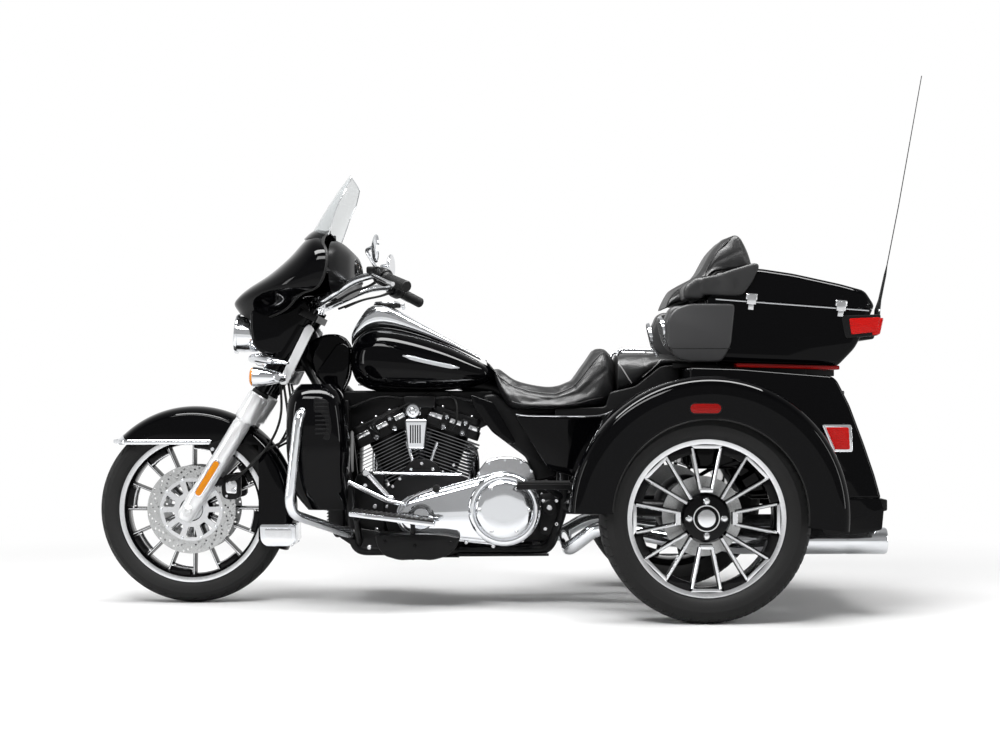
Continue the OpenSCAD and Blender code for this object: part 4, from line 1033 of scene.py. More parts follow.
piece("inner_panel", loft([[500, 182, 1072, 1172, 4.4], [512, 238, 1058, 1190, 4.2], [545, 303, 1042, 1218, 3.6],
    [571, 332, 1037, 1222, 3.2]], 6, 64), satin, "steering", replaces=("dash",))
bezels, faces, needles = [], [], []
for y, z, r in ((-52, 1128, 42), (52, 1128, 42), (-118, 1135, 24), (118, 1135, 24)):
    at, way = Vector((503, y, z)), Vector((-1, 0, 0.14)).normalized()
    bezels.append(spun(at, at + way, [(-6, r - 5), (-6, r), (7, r), (10, r - 2), (10, r - 5), (2, r - 6)], 48))
    faces.append(spun(at, at + way, [(0, 0.1), (2, r * 0.5), (2, r - 5), (-6, r - 5)], 40))
    needles.append(placed(box(-1, 1, -1.2, 1.2, 0, r * 0.62), Matrix.Translation((at + way * 3.5) * MM)
        @ Matrix.Rotation(math.radians(35), 4, "X")))
piece("gauge_bezels", joined(*bezels), satin, "steering")
piece("gauge_faces", joined(*faces), satin, "steering")
piece("gauge_needles", joined(*needles), amber_lens, "steering")
stays = mirrored(spun((560, 300, 1112), (588, 352, 1112), [(0, 0.1), (0, 8), (58, 8), (58, 0.1)]))
piece("fairing_stays", stays, satin, "steering")
print("fairing ready")

# %% [markdown]
# ## Lamps on the fork
# The headlamp is a chromed bucket with a bright rim and a domed glass in front of a stepped reflector. A swept
# chromed bar runs below it from leg to leg and carries two amber indicators.
# %% Headlamp, lamp bar and indicators


def lamp_set(at, way, r, depth, rim):
    """Bucket, rim and glass of one round lamp, with its face at depth from at."""
    at, way = Vector(at), Vector(way).normalized()
    bucket = spun(at, at + way, [(0, 0.1), (1, r * 0.45), (depth * 0.16, r * 0.72), (depth * 0.4, r * 0.9),
        (depth * 0.72, r * 0.97),
        (depth - 8, r * 0.98), (depth - 8, r + rim), (depth - 4, r + rim + 0.8), (depth + 1, r + rim - 1.0),
        (depth + 3, r + rim * 0.2), (depth + 1, r - 3), (depth - 3, r - 4)], 72)
    glass = spun(at, at + way, [(depth - 4, r - 3.2), (depth + 2, r - 4), (depth + r * 0.07, r * 0.7),
        (depth + r * 0.11, r * 0.35),
        (depth + r * 0.12, 0.1)], 64)
    return bucket, glass


def squeezed(path, radii, flat):
    """A smooth bar through points, with a radius at each, made thinner from top to bottom."""
    rows = smooth([[*map(float, p), float(r)] for p, r in zip(path, radii)], 8)
    rings = []
    for i, (x, y, z, r) in enumerate(rows):
        ahead, behind = rows[min(i + 1, len(rows) - 1)], rows[max(i - 1, 0)]
        way = (Vector(ahead[:3]) - Vector(behind[:3])).normalized()
        side = way.cross(Vector((0, 0, 1))).normalized()
        up = side.cross(way)
        rings.append([tuple(Vector((x, y, z)) + side * r * math.cos(a) + up * r * flat * math.sin(a))
            for a in [2 * math.pi * k / 24 for k in range(24)]])
    return skin(rings)


buckets, glasses = [], []
bucket, glass = lamp_set((794, 0, 908), (1, 0, 0.07), 63, 122, 5)
buckets.append(bucket)
glasses.append(glass)
piece("headlamps", joined(*buckets), chrome, "steering", replaces=("front_lamps",))
piece("headlamp_glass", joined(*glasses), clear_lens, "steering")
nacelle = softened(plate([rounded([(776, 800), (842, 806), (862, 846), (790, 852)], 14)], -58, 58, 6), 2)
wing = squeezed([(846, 0, 828), (848, 70, 830), (826, 130, 828), (772, 176, 820), (716, 204, 812)], (20, 20, 19, 15,
    6), 0.8)
bar_tube = tube([(800, 120, 800), (796, 206, 772)], 9, 20)
piece("lamp_bar", joined(nacelle, mirrored(joined(wing, bar_tube))), chrome, "steering")
bodies, lenses_amber = [], []
for side in SIDES:
    a, b = Vector((722, side * 215, 764)), Vector((838, side * 215, 767))
    bodies.append(spun(a, b, [(0, 0.1), (0, 9), (4, 13), (24, 18), (48, 24), (72, 29), (96, 32), (108, 33), (110, 31),
        (110, 0.1)], 48))
    bodies.append(turned([(side * 212, 0.1), (side * 212, 14), (side * 242, 14), (side * 246, 10), (side * 246, 0.1)],
        (746, 0, 764), steps=32,
        closed=False))
    lenses_amber.append(spun(a, b, [(108, 0.1), (108, 31), (114, 29.5), (119, 22), (121, 10), (121, 0.1)], 48))
piece("indicator_bodies", joined(*bodies), chrome, "steering")
piece("indicator_lenses", joined(*lenses_amber), amber_lens, "steering")
print("lamps on the fork ready")

# %% [markdown]
# ## Handlebar
# A chromed bar on two risers, rubber grips with ribs round them, switch housings, levers and round mirrors.
# %% Handlebar, grips, levers and mirrors
line = bent([(632, 0, 1008), (630, 130, 1008), (492, 258, 1084), (415, 322, 1100), (330, 446, 1059)], 42, 8)
risers = [spun((640, s * 45, 985), (632, s * 45, 1042), [(0, 0.1), (0, 20), (50, 19), (56, 16), (57,
    0.1)]) for s in SIDES]
piece("bars", joined(mirrored(tube(line, 12.7, 24)), *risers), chrome, "steering", replaces=("handlebar",))
grip_a, grip_b = Vector((378, 375, 1082)), Vector((309, 477.5, 1048.8))
length = (grip_b - grip_a).length
profile = [(0, 0.1), (0, 21), (4, 22), (8, 19)]
for i in range(14):
    t = 12 + i * (length - 26) / 13
    profile += [(t, 17.2), (t + 1.2, 18.6), (t + 5.2, 18.6), (t + 6.2, 17.2)]
profile += [(length - 3, 18.8), (length, 16), (length, 0.1)]
grips = spun(grip_a, grip_b, profile, 28)
piece("grips", mirrored(grips), grip_rubber, "steering")
house_a, house_b = Vector((405, 335, 1095)), Vector((380, 372, 1083))
house = spun(house_a, house_b, [(0, 0.1), (0, 22), (4, 28), (20, 29.5), (21, 28), (22, 29.5), (40, 29), (45, 24), (45,
    0.1)], 32)
lever = tube(bent([(428, 350, 1098), (424, 372, 1092), (372, 462, 1064), (352, 488, 1056)], 26, 8),
    [7] + [6.4] * 18 + [7.5], 12)
clamp = spun((414, 322, 1100), (400, 343, 1093), [(0, 0.1), (0, 19), (4, 21), (20, 21), (24, 19), (24, 0.1)])
tank_cap = softened(box(402, 446, 318, 356, 1100, 1122), 5)
piece("switch_housings", mirrored(joined(house, clamp, tank_cap)), satin, "steering")
piece("levers", mirrored(lever), polished, "steering")
wires = []
for a, b in (((408, 326, 1082), (560, 176, 1016)), ((402, 336, 1080), (580, 150, 1010))):
    wires.append(tube(bent([a, (440, 286, 1062), (500, 236, 1048), b], 45, 8), 4, 10))
piece("control_cables", mirrored(joined(*wires)), grip_rubber, "steering")
arm = tube(bent([(410, 336, 1110), (448, 350, 1175), (425, 392, 1180)], 18, 6), 6, 16)
head = []
look = Matrix.Translation((0.416, 0.400, 1.176)) @ Matrix.Rotation(math.radians(12), 4, "Z")
back = turned([(-8, 0.1), (-9, 38), (-8.5, 44.5), (-5, 46), (1, 42), (6, 30), (9, 12), (9, 0.1)], (0, 0, 0), "X", 48,
    closed=False)
mirror_face = turned([(-8.8, 0.1), (-9.2, 40), (-8.2, 40.5)], (0, 0, 0), "X", 48, closed=False)
head.append(placed(back, look))
piece("mirror_heads", mirrored(joined(arm, *head)), chrome, "steering", replaces=("mirrors",))
piece("mirror_faces", mirrored(placed(mirror_face, look)), machined, "steering", outward=False)
print("handlebar ready")

# %% [markdown]
# ## Engine
# The engine is a V-twin: two finned cylinders on one crankcase, leaning apart from the crankshaft. A fin is a
# thin black plate whose cut edge is bare metal. Geometry Nodes stacks them at their pitch, and each stack is then
# cut by the plane where the two cylinders meet.
# %% Finned cylinders
CRANK = Vector((276, 0, 309))


def slab(loops, low, high, bevel=0.0):
    """A flat outline lying level, from z = low to z = high."""
    return placed(plate(loops, low, high, bevel), Matrix.Rotation(math.radians(90), 4, "X"))


def fin_outline(wide, deep, corner=26):
    """A fin's outline: a rectangle with large corners."""
    return rounded([(-wide, -deep), (wide, -deep), (wide, deep), (-wide, deep)], corner, 6)


def halved(mesh, lean):
    """Cuts a leaned stack at the plane between the cylinders and closes the cut."""
    work = bmesh.new()
    work.from_mesh(mesh)
    way = Vector((math.cos(math.radians(3.5)), 0, -math.sin(math.radians(3.5)))) * (1 if lean > 0 else -1)
    cut = bmesh.ops.bisect_plane(work, geom=work.verts[:] + work.edges[:] + work.faces[:],
        plane_co=(CRANK + way * 1.5) * MM, plane_no=way, clear_inner=True)
    edges = [e for e in cut["geom_cut"] if isinstance(e, bmesh.types.BMEdge)]
    bmesh.ops.holes_fill(work, edges=edges)
    work.to_mesh(mesh)
    work.free()
    return mesh


fin_metal, tree, surface = shader("cut_fin_edge", Base_Color=linear("#77787A"), Metallic=1.0)
roughened(tree, surface, 150, 0.3, 0.45)
iron, edges, boxes, covers, plugs = [], [], [], [], []
for lean, wide in ((26, 114), (-19, 108)):
    up = Matrix.Translation(CRANK * MM) @ Matrix.Rotation(math.radians(lean), 4, "Y")
    fin = slab([fin_outline(wide, 79)], 142, 144.4)
    rim = slab([fin_outline(wide + 0.6, 79.6), list(reversed(fin_outline(wide - 2.4, 76.6, 24)))], 142.2, 144.1)
    iron.append(halved(placed(pattern(fin, 13, step=(0, 0, 11)), up), lean))
    edges.append(halved(placed(pattern(rim, 13, step=(0, 0, 11)), up), lean))
    barrel = turned([(128, 0.1), (128, 64), (292, 64), (292, 0.1)], (0, 0, 0), "Z", 48, closed=False)
    iron.append(halved(placed(barrel, up), lean))
    iron.append(halved(placed(slab([fin_outline(wide - 10, 70, 20)], 288, 318, 3), up), lean))
    boxes.append(halved(placed(slab([fin_outline(wide - 14, 69, 18)], 318, 334, 2.5), up), lean))
    covers.append(halved(placed(slab([fin_outline(wide - 20, 66, 22)], 334, 362, 8), up), lean))
    covers.append(halved(placed(slab([fin_outline(wide - 44, 44, 18)], 360, 372, 5), up), lean))
    for x in (-52, 0, 52):
        plugs.append(placed(bolt((x, 58, 360), (0, 0, 1), 6.5, 6), up))
        plugs.append(placed(bolt((x, -58, 360), (0, 0, 1), 6.5, 6), up))
        plugs.append(placed(bolt((x * 1.2, 69, 322), (0, 1, 0), 5, 4), up))
    for x in (-40, 28):
        covers.append(halved(placed(softened(box(x - 15, x + 15, 60, 76, 292, 346), 4), up), lean))
        plugs.append(placed(spun((x, 70, 334), (x, 82, 334), [(0, 0.1), (0, 8), (8, 8), (11, 5), (11, 0.1)], 20), up))
        plugs.append(placed(spun((x, 72, 300), (x, 88, 292), [(0, 0.1), (0, 9), (10, 9), (12, 6), (17, 5), (17, 0.1)],
            20), up))
piece("cylinder_fins", joined(*iron), wrinkle, "chassis", replaces=("cylinders",))
piece("cylinder_fin_edges", joined(*edges), fin_metal, "chassis")
piece("rocker_boxes", joined(*boxes), polished, "chassis")
piece("rocker_covers", joined(*covers), wrinkle, "chassis")
piece("engine_bolts", joined(*plugs), chrome, "chassis")
leads = [tube(bent([(CRANK.x + a, 84, CRANK.z + b), (CRANK.x + a * 1.2, 104, CRANK.z + b + 30), (c, 92, 690), (d, 60,
    716)], 34, 8),
    4.0, 12) for a, b, c, d in ((150, 268, 300, 250), (-100, 282, 160, 190))]
piece("ignition_leads", joined(*leads), grip_rubber, "chassis")
print("cylinders ready")

# %% [markdown]
# The horn hangs between the cylinders under a chromed, ribbed cover with a round boss. Below, the lifter block is
# bright cast metal. The crankcase keeps its CAD solid; joint flanges, bolts and the drive side's castings are added.
# %% Horn cover, lifter block and crankcase details
horn_body = softened(plate([rounded([(334, 626), (258, 626), (268, 524), (324, 524)], 12)], 84, 128, 5), 1)
grooves = [softened(box(x - 2.2, x + 2.2, 127, 130.5, 545, 606), 1) for x in (282, 290, 298, 306, 314)]
boss = spun((307, 80, 653), (307, 122, 653), [(0, 0.1), (0, 25), (30, 25), (36, 21), (38, 12), (42, 11), (44, 8), (44,
    0.1)], 48)
arm = softened(plate([rounded([(331, 690), (283, 690), (279, 634), (335, 634)], 16)], 76, 90, 2), 1)
piece("horn_cover_chrome", joined(horn_body, boss, arm), chrome, "chassis", replaces=("horn_cover",))
piece("horn_cover_ribs", joined(*grooves), satin, "chassis")
lifter = plate([rounded([(330, 470), (300, 492), (256, 492), (222, 470), (212, 446), (226, 432), (322, 430), (340,
    446)], 12)], 80, 98, 3)
piece("lifter_block", softened(lifter, 1), wrinkle, "chassis")
tappets = [spun((a, 86, 474), (b, 84, 560), [(0, 0.1), (0, 8), (14, 8), (15, 6), (78, 6), (79, 0.1)], 16) for a,
    b in ((306, 332), (250, 222))]
piece("pushrod_tubes", joined(*tappets), chrome, "chassis")
knobs = [bolt((x, 98, z), (0, 1, 0), 6, 5) for x, z in ((278, 476), (240, 456), (314, 456))]
wheel_bolts = [bolt((x, 93, z), (0, 1, 0), 6, 5) for x, z in ((396, 330), (392, 366), (376, 398), (352, 424), (170,
    470), (206, 446),
    (-96, 398), (-128, 372), (-146, 336), (-146, 292), (-140, 246))]
piece("case_bolts", joined(*knobs, *wheel_bolts), machined, "chassis")
flange = plate([rounded([(404, 300), (400, 356), (370, 416), (330, 440), (216, 446), (150, 440), (100, 402), (-120,
    404), (-152, 380),
    (-158, 236), (-130, 214), (56, 212), (70, 188), (262, 188), (330, 196), (390, 240)], 16),
    list(reversed(circle(276, 309, 70, 48)))], 88, 93.5, 1.2)
piece("crankcase_flange", flange, wrinkle, "chassis")
rear_mount = joined(plate([rounded([(-120, 372), (-168, 380), (-196, 340), (-190, 262), (-150, 232), (-118, 246)],
    14)], 94, 132, 4),
    spun((-152, 132, 330), (-152, 150, 330), [(0, 0.1), (0, 26), (10, 26), (14, 22), (14, 0.1)], 40))
piece("gearbox_end", rear_mount, wrinkle, "chassis")
ends = [bolt((x, 134, z), (0, 1, 0), 7, 6) for x, z in ((-132, 352), (-176, 352), (-176, 274), (-138, 258))]
ends += [bolt((-152, 146, 330), (0, 1, 0), 10, 8)]
piece("gearbox_bolts", joined(*ends), machined, "chassis")
top = softened(plate([rounded([(104, 410), (84, 455), (58, 488), (14, 499), (-38, 497), (-82, 480), (-106, 440), (-108,
    408)], 14)], 84, 118, 6), 1)
piece("gearbox_top", top, polished, "chassis")
piece("gearbox_top_bolts", joined(*[bolt((x, 117, z), (0, 1, 0), 6, 6) for x, z in ((84, 444), (50, 478), (-4, 488),
    (-58, 480), (-92, 450))]),
    chrome, "chassis")
print("engine castings ready")

# %% [markdown]
# The primary drive runs inside a long chromed cover. It steps out in three terraces with rolled edges, and a round
# plain cover with six small screws closes its wide end.
# %% Primary cover


def belt(ax, az, ar, bx, bz, br, shrink=0.0, count=40):
    """The outline of a belt round two pulleys, shrunk by a margin."""
    ar, br = ar - shrink, br - shrink
    a, b = Vector((ax, az)), Vector((bx, bz))
    heading = math.atan2(b.y - a.y, b.x - a.x)
    spread = math.acos((ar - br) / (b - a).length)
    first = [(a.x + ar * math.cos(t), a.y + ar * math.sin(t)) for t in
        [heading + spread + (2 * math.pi - 2 * spread) * i / count for i in range(count + 1)]]
    second = [(b.x + br * math.cos(t), b.y + br * math.sin(t)) for t in
        [heading - spread + 2 * spread * i / count for i in range(count + 1)]]
    return first + second


steps = [plate([belt(0, 327, 124, 290, 304, 71)], 94, 168, 4),
    plate([belt(0, 327, 124, 290, 304, 71, 6)], 160, 196, 7),
    plate([belt(0, 327, 124, 290, 304, 71, 16)], 190, 213, 9)]
ring = turned([(196, 96), (196, 121), (207, 122), (214, 119), (218, 112), (219, 104), (216, 98)], (0, 0, 327),
    steps=128)
derby = turned([(206, 0.1), (206, 98), (224, 98), (231, 95), (236, 88), (237.6, 70), (238, 40), (238, 0.1)], (0, 0,
    327), steps=128,
    closed=False)
small_ring = turned([(208, 26), (208, 44), (213, 44.5), (216, 40), (214, 28)], (275, 0, 303), steps=72)
blank = turned([(208, 0.1), (208, 27), (213, 25), (214.5, 14), (215, 0.1)], (275, 0, 303), steps=48, closed=False)
piece("primary_cover_chrome", joined(*steps, ring, small_ring, blank), chrome, "chassis", sharp=40,
    replaces=("primary_cover",))
piece("primary_round_cover", derby, chrome, "chassis", sharp=40)
screws = pattern(bolt((82, 236.2, 0), (0, 1, 0), 6, 4), 6, turn=(0, 60, 0), material=chrome)
rims = [bolt((x, 190, z), (0, 1, 0), 7, 5) for x, z in ((126, 218), (36, 205), (-60, 224))]
piece("primary_screws", joined(moved(screws, 0, 0, 327), *rims), machined, "chassis")
print("primary cover ready")

# %% [markdown]
# ## Right side of the engine
# The air cleaner is a round chromed can with a turned face and a band of slots. Under it sits the cam cover.
# %% Air cleaner
can = turned([(-186, 0.1), (-186, 84), (-190, 88), (-226, 88), (-238, 84), (-243, 74), (-244, 60), (-241, 56), (-241,
    20), (-244, 16),
    (-245, 0.1)], (250, 0, 520), steps=96, closed=False)
neck = turned([(-81, 0.1), (-81, 40), (-188, 40), (-188, 0.1)], (250, 0, 520), steps=48, closed=False)
cam = turned([(-94, 0.1), (-94, 100), (-122, 100), (-131, 94), (-135, 80), (-135, 0.1)], (276, 0, 309), steps=96,
    closed=False)
piece("air_cleaner_chrome", joined(can, neck, cam), chrome, "chassis", sharp=40, replaces=("air_cleaner",))
slot_bar = softened(box(86, 89, -222, -196, -3, 3), 1)
slots = moved(pattern(slot_bar, 36, turn=(0, 10, 0)), 250, 0, 520)
cam_bolts = moved(pattern(bolt((88, -131, 0), (0, -1, 0), 6, 5), 8, turn=(0, 45, 0)), 276, 0, 309)
piece("air_cleaner_slots", slots, satin, "chassis")
piece("cam_cover_bolts", cam_bolts, machined, "chassis")

# %% [markdown]
# ## Exhaust
# Bent, chromed steel tubes with rolled flanges lead to two straight mufflers with stepped ends.
# %% Pipes and mufflers
runs = [
    ([(415, -62, 560), (440, -165, 520), (434, -178, 205), (-170, -215, 200), (-310, -262, 275), (-560, -330, 234),
    (-690, -330, 234)], 24, 60),
    ([(150, -60, 545), (110, -178, 520), (100, -188, 300), (50, -200, 205)], 22, 50),
    ([(-216, -225, 210), (-216, 190, 195), (-310, 262, 275), (-560, 330, 234), (-690, 330, 234)], 24, 45)]
pipes = [tube(bent(path, reach, 10), r, 32) for path, r, reach in runs]
for side in SIDES:
    a, b = Vector((-676, side * 330, 234)), Vector((-1239, side * 330, 234))
    pipes.append(spun(a, b, [(0, 0.1), (0, 27), (8, 29), (60, 41), (84, 44), (420, 44), (424, 42.5), (430, 42.5), (434,
        44), (556, 44),
        (562, 41.5), (562, 35), (480, 34), (480, 0.1)], 64))
    pipes.append(spun((-430, side * 296, 255), (-450, side * 301, 252), [(0, 0.1), (0, 27), (4, 29), (20, 29), (24,
        27), (24, 0.1)], 32))
piece("exhaust_pipes", joined(*pipes), chrome, "chassis", sharp=40, replaces=("exhaust",))
print("exhaust ready")

# %% [markdown]
# ## Tank and console
# The tank is a teardrop: its sections swell to the front and pull down to the seat. A chromed console lies on
# its ridge with the filler lid. A slim light stripe is the only mark on its side.
# %% Fuel tank, console and filler lid
tank_rows = [[20, 66, 760, 780, 2.4], [46, 88, 749, 801, 2.6], [80, 108, 740, 820, 2.7], [180, 138, 724, 872, 2.7],
    [300, 150, 719, 915, 2.7], [400, 152, 718, 936, 2.7], [460, 142, 727, 930, 2.5], [502, 112, 752, 900, 2.3],
    [518, 74, 786, 874, 2.1]]
piece("tank_shell", loft(tank_rows, 8, 96, ends=8), paint, "chassis", sharp=60, replaces=("fuel_tank",))
tank_lines = smooth([list(map(float, r)) for r in tank_rows], 8)


def tank_side(x, z):
    """How far the tank's side stands out at a place."""
    for a, b in zip(tank_lines, tank_lines[1:]):
        if a[0] <= x <= b[0]:
            t = (x - a[0]) / (b[0] - a[0])
            _, wide, low, high, power = [p + (q - p) * t for p, q in zip(a, b)]
            s = min(abs((z - (low + high) / 2) / ((high - low) / 2)), 1)
            return wide * (1 - s ** power) ** (1 / power)
    return 0.0


def on_tank(points, wide, proud):
    """A slim stripe lying on the tank's side, with both ends drawn to a point."""
    rings = []
    for i, (x, z) in enumerate(points):
        taper = wide * min(1.0, 6 * min(i, len(points) - 1 - i) / len(points) + 0.12)
        ring = []
        for k in range(9):
            zz = z + taper * (k / 8 - 0.5)
            ring.append((x, tank_side(x, zz) + proud * (0.2 if k in (0, 8) else 1), zz))
        rings.append(ring)
    return skin(rings, around=False, ends=False)


stripe = on_tank([(150 + 190 * i / 40, 798 + 40 * (i / 40) ** 1.2) for i in range(41)], 13, 1.0)
silver, tree, surface = shader("silver_stripe_under_lacquer", Base_Color=linear("#B8BABD"), Metallic=0.5,
    Coat_Weight=0.5,
    Coat_Roughness=0.03)
roughened(tree, surface, 900, 0.28, 0.4)
stripes = mirrored(stripe)
piece("tank_stripes", thick(stripes, 0.6, 1), silver, "chassis")
seam = [(x, tank_side(x, z) + 0.4, z) for x, z in [(40 + 460 * i / 60,
    742 - 12 * math.sin(math.pi * (40 + 460 * i / 60 - 40) / 460))
    for i in range(61)]]
piece("tank_seams", mirrored(tube(seam, 1.8, 8)), paint, "chassis")
piece("console_chrome", loft([[80, 30, 826, 838, 3], [180, 44, 872.6, 895, 3], [300, 56, 915.6, 962, 3], [400, 60,
    936.6, 1014, 3],
    [460, 54, 930.6, 1007, 3], [502, 42, 902, 955, 2.6], [520, 30, 876, 921, 2.2]], 8, 72), chrome,
    "chassis", sharp=60, replaces=("console",))
lid = turned([(1020, 0.1), (1020, 43.6), (1023, 44), (1025.5, 42.5), (1026.4, 38), (1026, 34), (1027.6, 30), (1028,
    0.1)], (400, 0, 0),
    "Z", 96, closed=False)
piece("filler_lid", lid, chrome, "filler_door", sharp=40, replaces=("fuel_door",))
collar = turned([(1006, 30), (1006, 46), (1016, 46.5), (1019.4, 45), (1019.4, 38), (1010, 36)], (400, 0, 0), "Z", 96)
piece("filler_collar", collar, satin, "chassis")
hinge = softened(joined(box(340, 352, -16, 16, 1006, 1021), box(338, 350, -14, 14, 1000, 1010)), 2)
piece("filler_hinge", hinge, chrome, "chassis")
print("tank ready")

# %% [markdown]
# ## Side panels, lower fairings, guard and boards
# %% Panels and lower fairings
cover_a = plate([rounded([(-34, 638), (-326, 638), (-326, 434), (-242, 428), (-148, 460)], 16)], 168, 182, 4)
cover_b = plate([rounded([(112, 708), (38, 683), (-41, 547), (-15, 543), (56, 602), (105, 674)], 9)], 146, 157, 3)
piece("side_panels", mirrored(joined(softened(cover_a, 1), cover_b)), paint, "chassis", sharp=50,
    replaces=("side_covers",))
lower = loft([[332, 515, 640, 250, 322, 3], [392, 508, 682, 236, 372, 3], [470, 506, 700, 225, 396, 3], [560, 505, 706,
    215, 410, 3.4],
    [690, 520, 700, 215, 405, 3], [742, 556, 662, 238, 362, 2.6]], 8, 72, axis="Z", ends=6)
piece("lower_fairing_shells", mirrored(lower), paint, "chassis", sharp=60, replaces=("lower_fairings",))
vent = plate([rounded([(566, 690), (610, 700), (612, 570), (560, 560), (552, 600)], 10)], 403, 410, 2)
door = [softened(box(562, 606, 408, 411.5, z, z + 5), 1) for z in range(580, 690, 14)]
piece("lower_fairing_vents", mirrored(joined(vent, *door)), satin, "chassis")
guard = tube(bent([(560, 122, 640), (655, 425, 660), (690, 425, 330), (505, 122, 236)], 60, 12), 16, 28)
piece("guard_tubes", mirrored(guard), chrome, "chassis", sharp=60, replaces=("engine_guard",))
tips = joined(spun((558, 132, 642), (566, 152, 644), [(0, 0.1), (0, 20), (18, 20), (22, 17), (22, 0.1)], 32),
    spun((507, 126, 237), (525, 155, 247), [(0, 0.1), (0, 20), (18, 20), (22, 17), (22, 0.1)], 32))
piece("guard_clamps", mirrored(tips), satin, "chassis")

# %% [markdown]
# The boards are plates with a chromed rim and a ribbed rubber mat, so boots don't slip.
# %% Footboards, pedals and linkage
base = plate([rounded([(500, 331), (223, 296), (223, 281), (500, 316)], 4)], 260, 389, 2)
mat = plate([rounded([(494, 334.5), (229, 301), (229, 296), (494, 329)], 2)], 266, 383, 1)
rib = softened(box(-4, 4, 270, 380, 0, 4), 1)
ribs = placed(pattern(rib, 16, step=(-16, 0, 0)), Matrix.Translation((0.482, 0,
    0.3315)) @ Matrix.Rotation(-math.atan2(35, 277), 4, "Y"))
piece("rider_board_rims", mirrored(base), chrome, "chassis", replaces=("rider_boards",))
piece("rider_board_mats", mirrored(joined(mat, ribs)), grip_rubber, "chassis")
for side, word in ((1, "left"), (-1, "right")):
    tray = plate([rounded([(-38, 419), (-228, 419), (-228, 401), (-38, 401)], 5)], 256, 379, 2)
    pad_top = plate([rounded([(-43, 425.5), (-223, 425.5), (-223, 418), (-43, 418)], 2)], 262, 374, 1)
    rows = moved(pattern(softened(box(-4, 4, 266, 370, 0, 2.2), 0.8), 11, step=(-16, 0, 0)), -52, 0, 423.6)
    turn = Matrix.Scale(side, 4, (0, 1, 0))
    piece("passenger_board_tray_" + word, placed(tray, turn), satin, "footboard_" + word,
        replaces=("passenger_board_" + word,))
    piece("passenger_board_mat_" + word, placed(joined(pad_top, rows), turn), grip_rubber, "footboard_" + word)
rod_mesh = tube([(430, 242, 449), (145, 150, 441)], 4.5, 16)
toe = tube([(530, 262, 430), (380, 246, 356), (330, 236, 346)], [7, 8, 8], 18)
heel = tube(bent([(330, 236, 346), (300, 244, 372), (222, 262, 400)], 26, 8), 7, 18)
drop = tube([(454, 240, 452), (376, 232, 366)], [9, 8], 18)
knuckle = joined(spun((454, 232, 452), (454, 252, 452), [(0, 0.1), (0, 13), (16, 13), (19, 10), (19, 0.1)], 28),
    spun((376, 222, 362), (376, 246, 362), [(0, 0.1), (0, 14), (20, 14), (24, 10), (24, 0.1)], 28))
piece("shift_linkage", joined(rod_mesh, toe, heel, drop, knuckle), polished, "chassis")
pegs = joined(spun((536, 258, 430), (536, 306, 430), [(0, 0.1), (0, 11), (3, 12.5), (40, 12.5), (46, 10), (47, 0.1)],
    24),
    spun((222, 258, 400), (222, 306, 400), [(0, 0.1), (0, 11), (3, 12.5), (40, 12.5), (46, 10), (47, 0.1)], 24))
piece("shift_pegs", pegs, grip_rubber, "chassis")
pedal = joined(tube(bent([(520, -262, 420), (460, -256, 380), (392, -240, 330)], 24, 8), 7, 18),
    softened(box(500, 545, -318, -262, 414, 432), 4))
piece("brake_pedal", pedal, satin, "chassis")
sump = joined(softened(plate([rounded([(540, 268), (556, 232), (470, 176), (170, 168), (160, 186), (300, 214), (420,
    250)], 12)], 128, 136, 2), 1),
    softened(plate([rounded([(156, 176), (-150, 176), (-150, 168), (156, 166)], 3)], 136, 148, 1), 1))
skid = softened(plate([rounded([(424, 250), (416, 208), (392, 178), (343, 164), (284, 167), (237, 164), (191, 176),
    (155, 206), (143, 240),
    (200, 250)], 14)], 138, 274, 7), 1)
piece("board_brackets", mirrored(joined(skid, *[bolt((x, 274, z), (0, 1, 0), 6, 5) for x, z in ((392, 226), (292, 212),
    (176, 222))])), satin, "chassis")
piece("lower_brackets", mirrored(sump), satin, "chassis")
piece("lower_bracket_bolts", mirrored(joined(*[bolt((x, 136, z), (0, 1, 0), 8, 6) for x, z in ((524, 244), (452, 196),
    (380, 196), (300, 188),
    (214, 180))])), machined, "chassis")
print("boards and linkage ready")

# %% [markdown]
# ## Frame and axle
# The frame is welded from round tube: a head tube, a backbone and two cradle loops with cross tubes. The rear
# axle carries a central drive housing between two swing arms.
# %% Frame tubes and rear axle
frame_mesh = [spun((1157 - 800 * math.tan(math.radians(26)), 0, 800), (1157 - 955 * math.tan(math.radians(26)), 0,
    955),
    [(0, 16), (0, 32), (3, 34), (169, 34), (172.4, 32), (172.4, 16)], 48),
    tube(bent([(722, 0, 880), (560, 0, 850), (0, 0, 720), (-70, 0, 628)], 60, 10), 30, 32)]
for side in SIDES:
    loop_path = [(700, side * 14, 856), (545, side * 122, 600), (500, side * 122, 185), (-150, side * 122, 185),
        (-200, side * 122, 330), (-200, side * 122, 560), (-80, side * 122, 628), (-591.7, side * 122, 640)]
    frame_mesh.append(tube(bent(loop_path, 40, 8), 17, 24))
    frame_mesh.append(tube([(485, side * 114, 198), (485, side * 264, 303)], 11, 16))
    frame_mesh.append(tube(bent([(300, side * 118, 170), (300, side * 256, 170), (300, side * 262, 288)], 18, 6), 8,
        14))
    frame_mesh.append(tube([(-198, side * 114, 360), (-133, side * 248, 408)], 11, 16))
    frame_mesh.append(tube([(60, side * 15, 712), (60, side * 146, 676)], 6, 12))
    frame_mesh.append(tube([(-200, side * 122, 500), (-200, side * 169, 500)], 6, 12))
    frame_mesh.append(softened(box(150, 240, side * 122 - 18, side * 122 + 18, 162, 170), 2))
for x, z in ((-70, 628), (-560, 640), (-199, 370), (430, 185), (-110, 201.7)):
    frame_mesh.append(tube([(x, -122, z), (x, 122, z)], 13, 20))
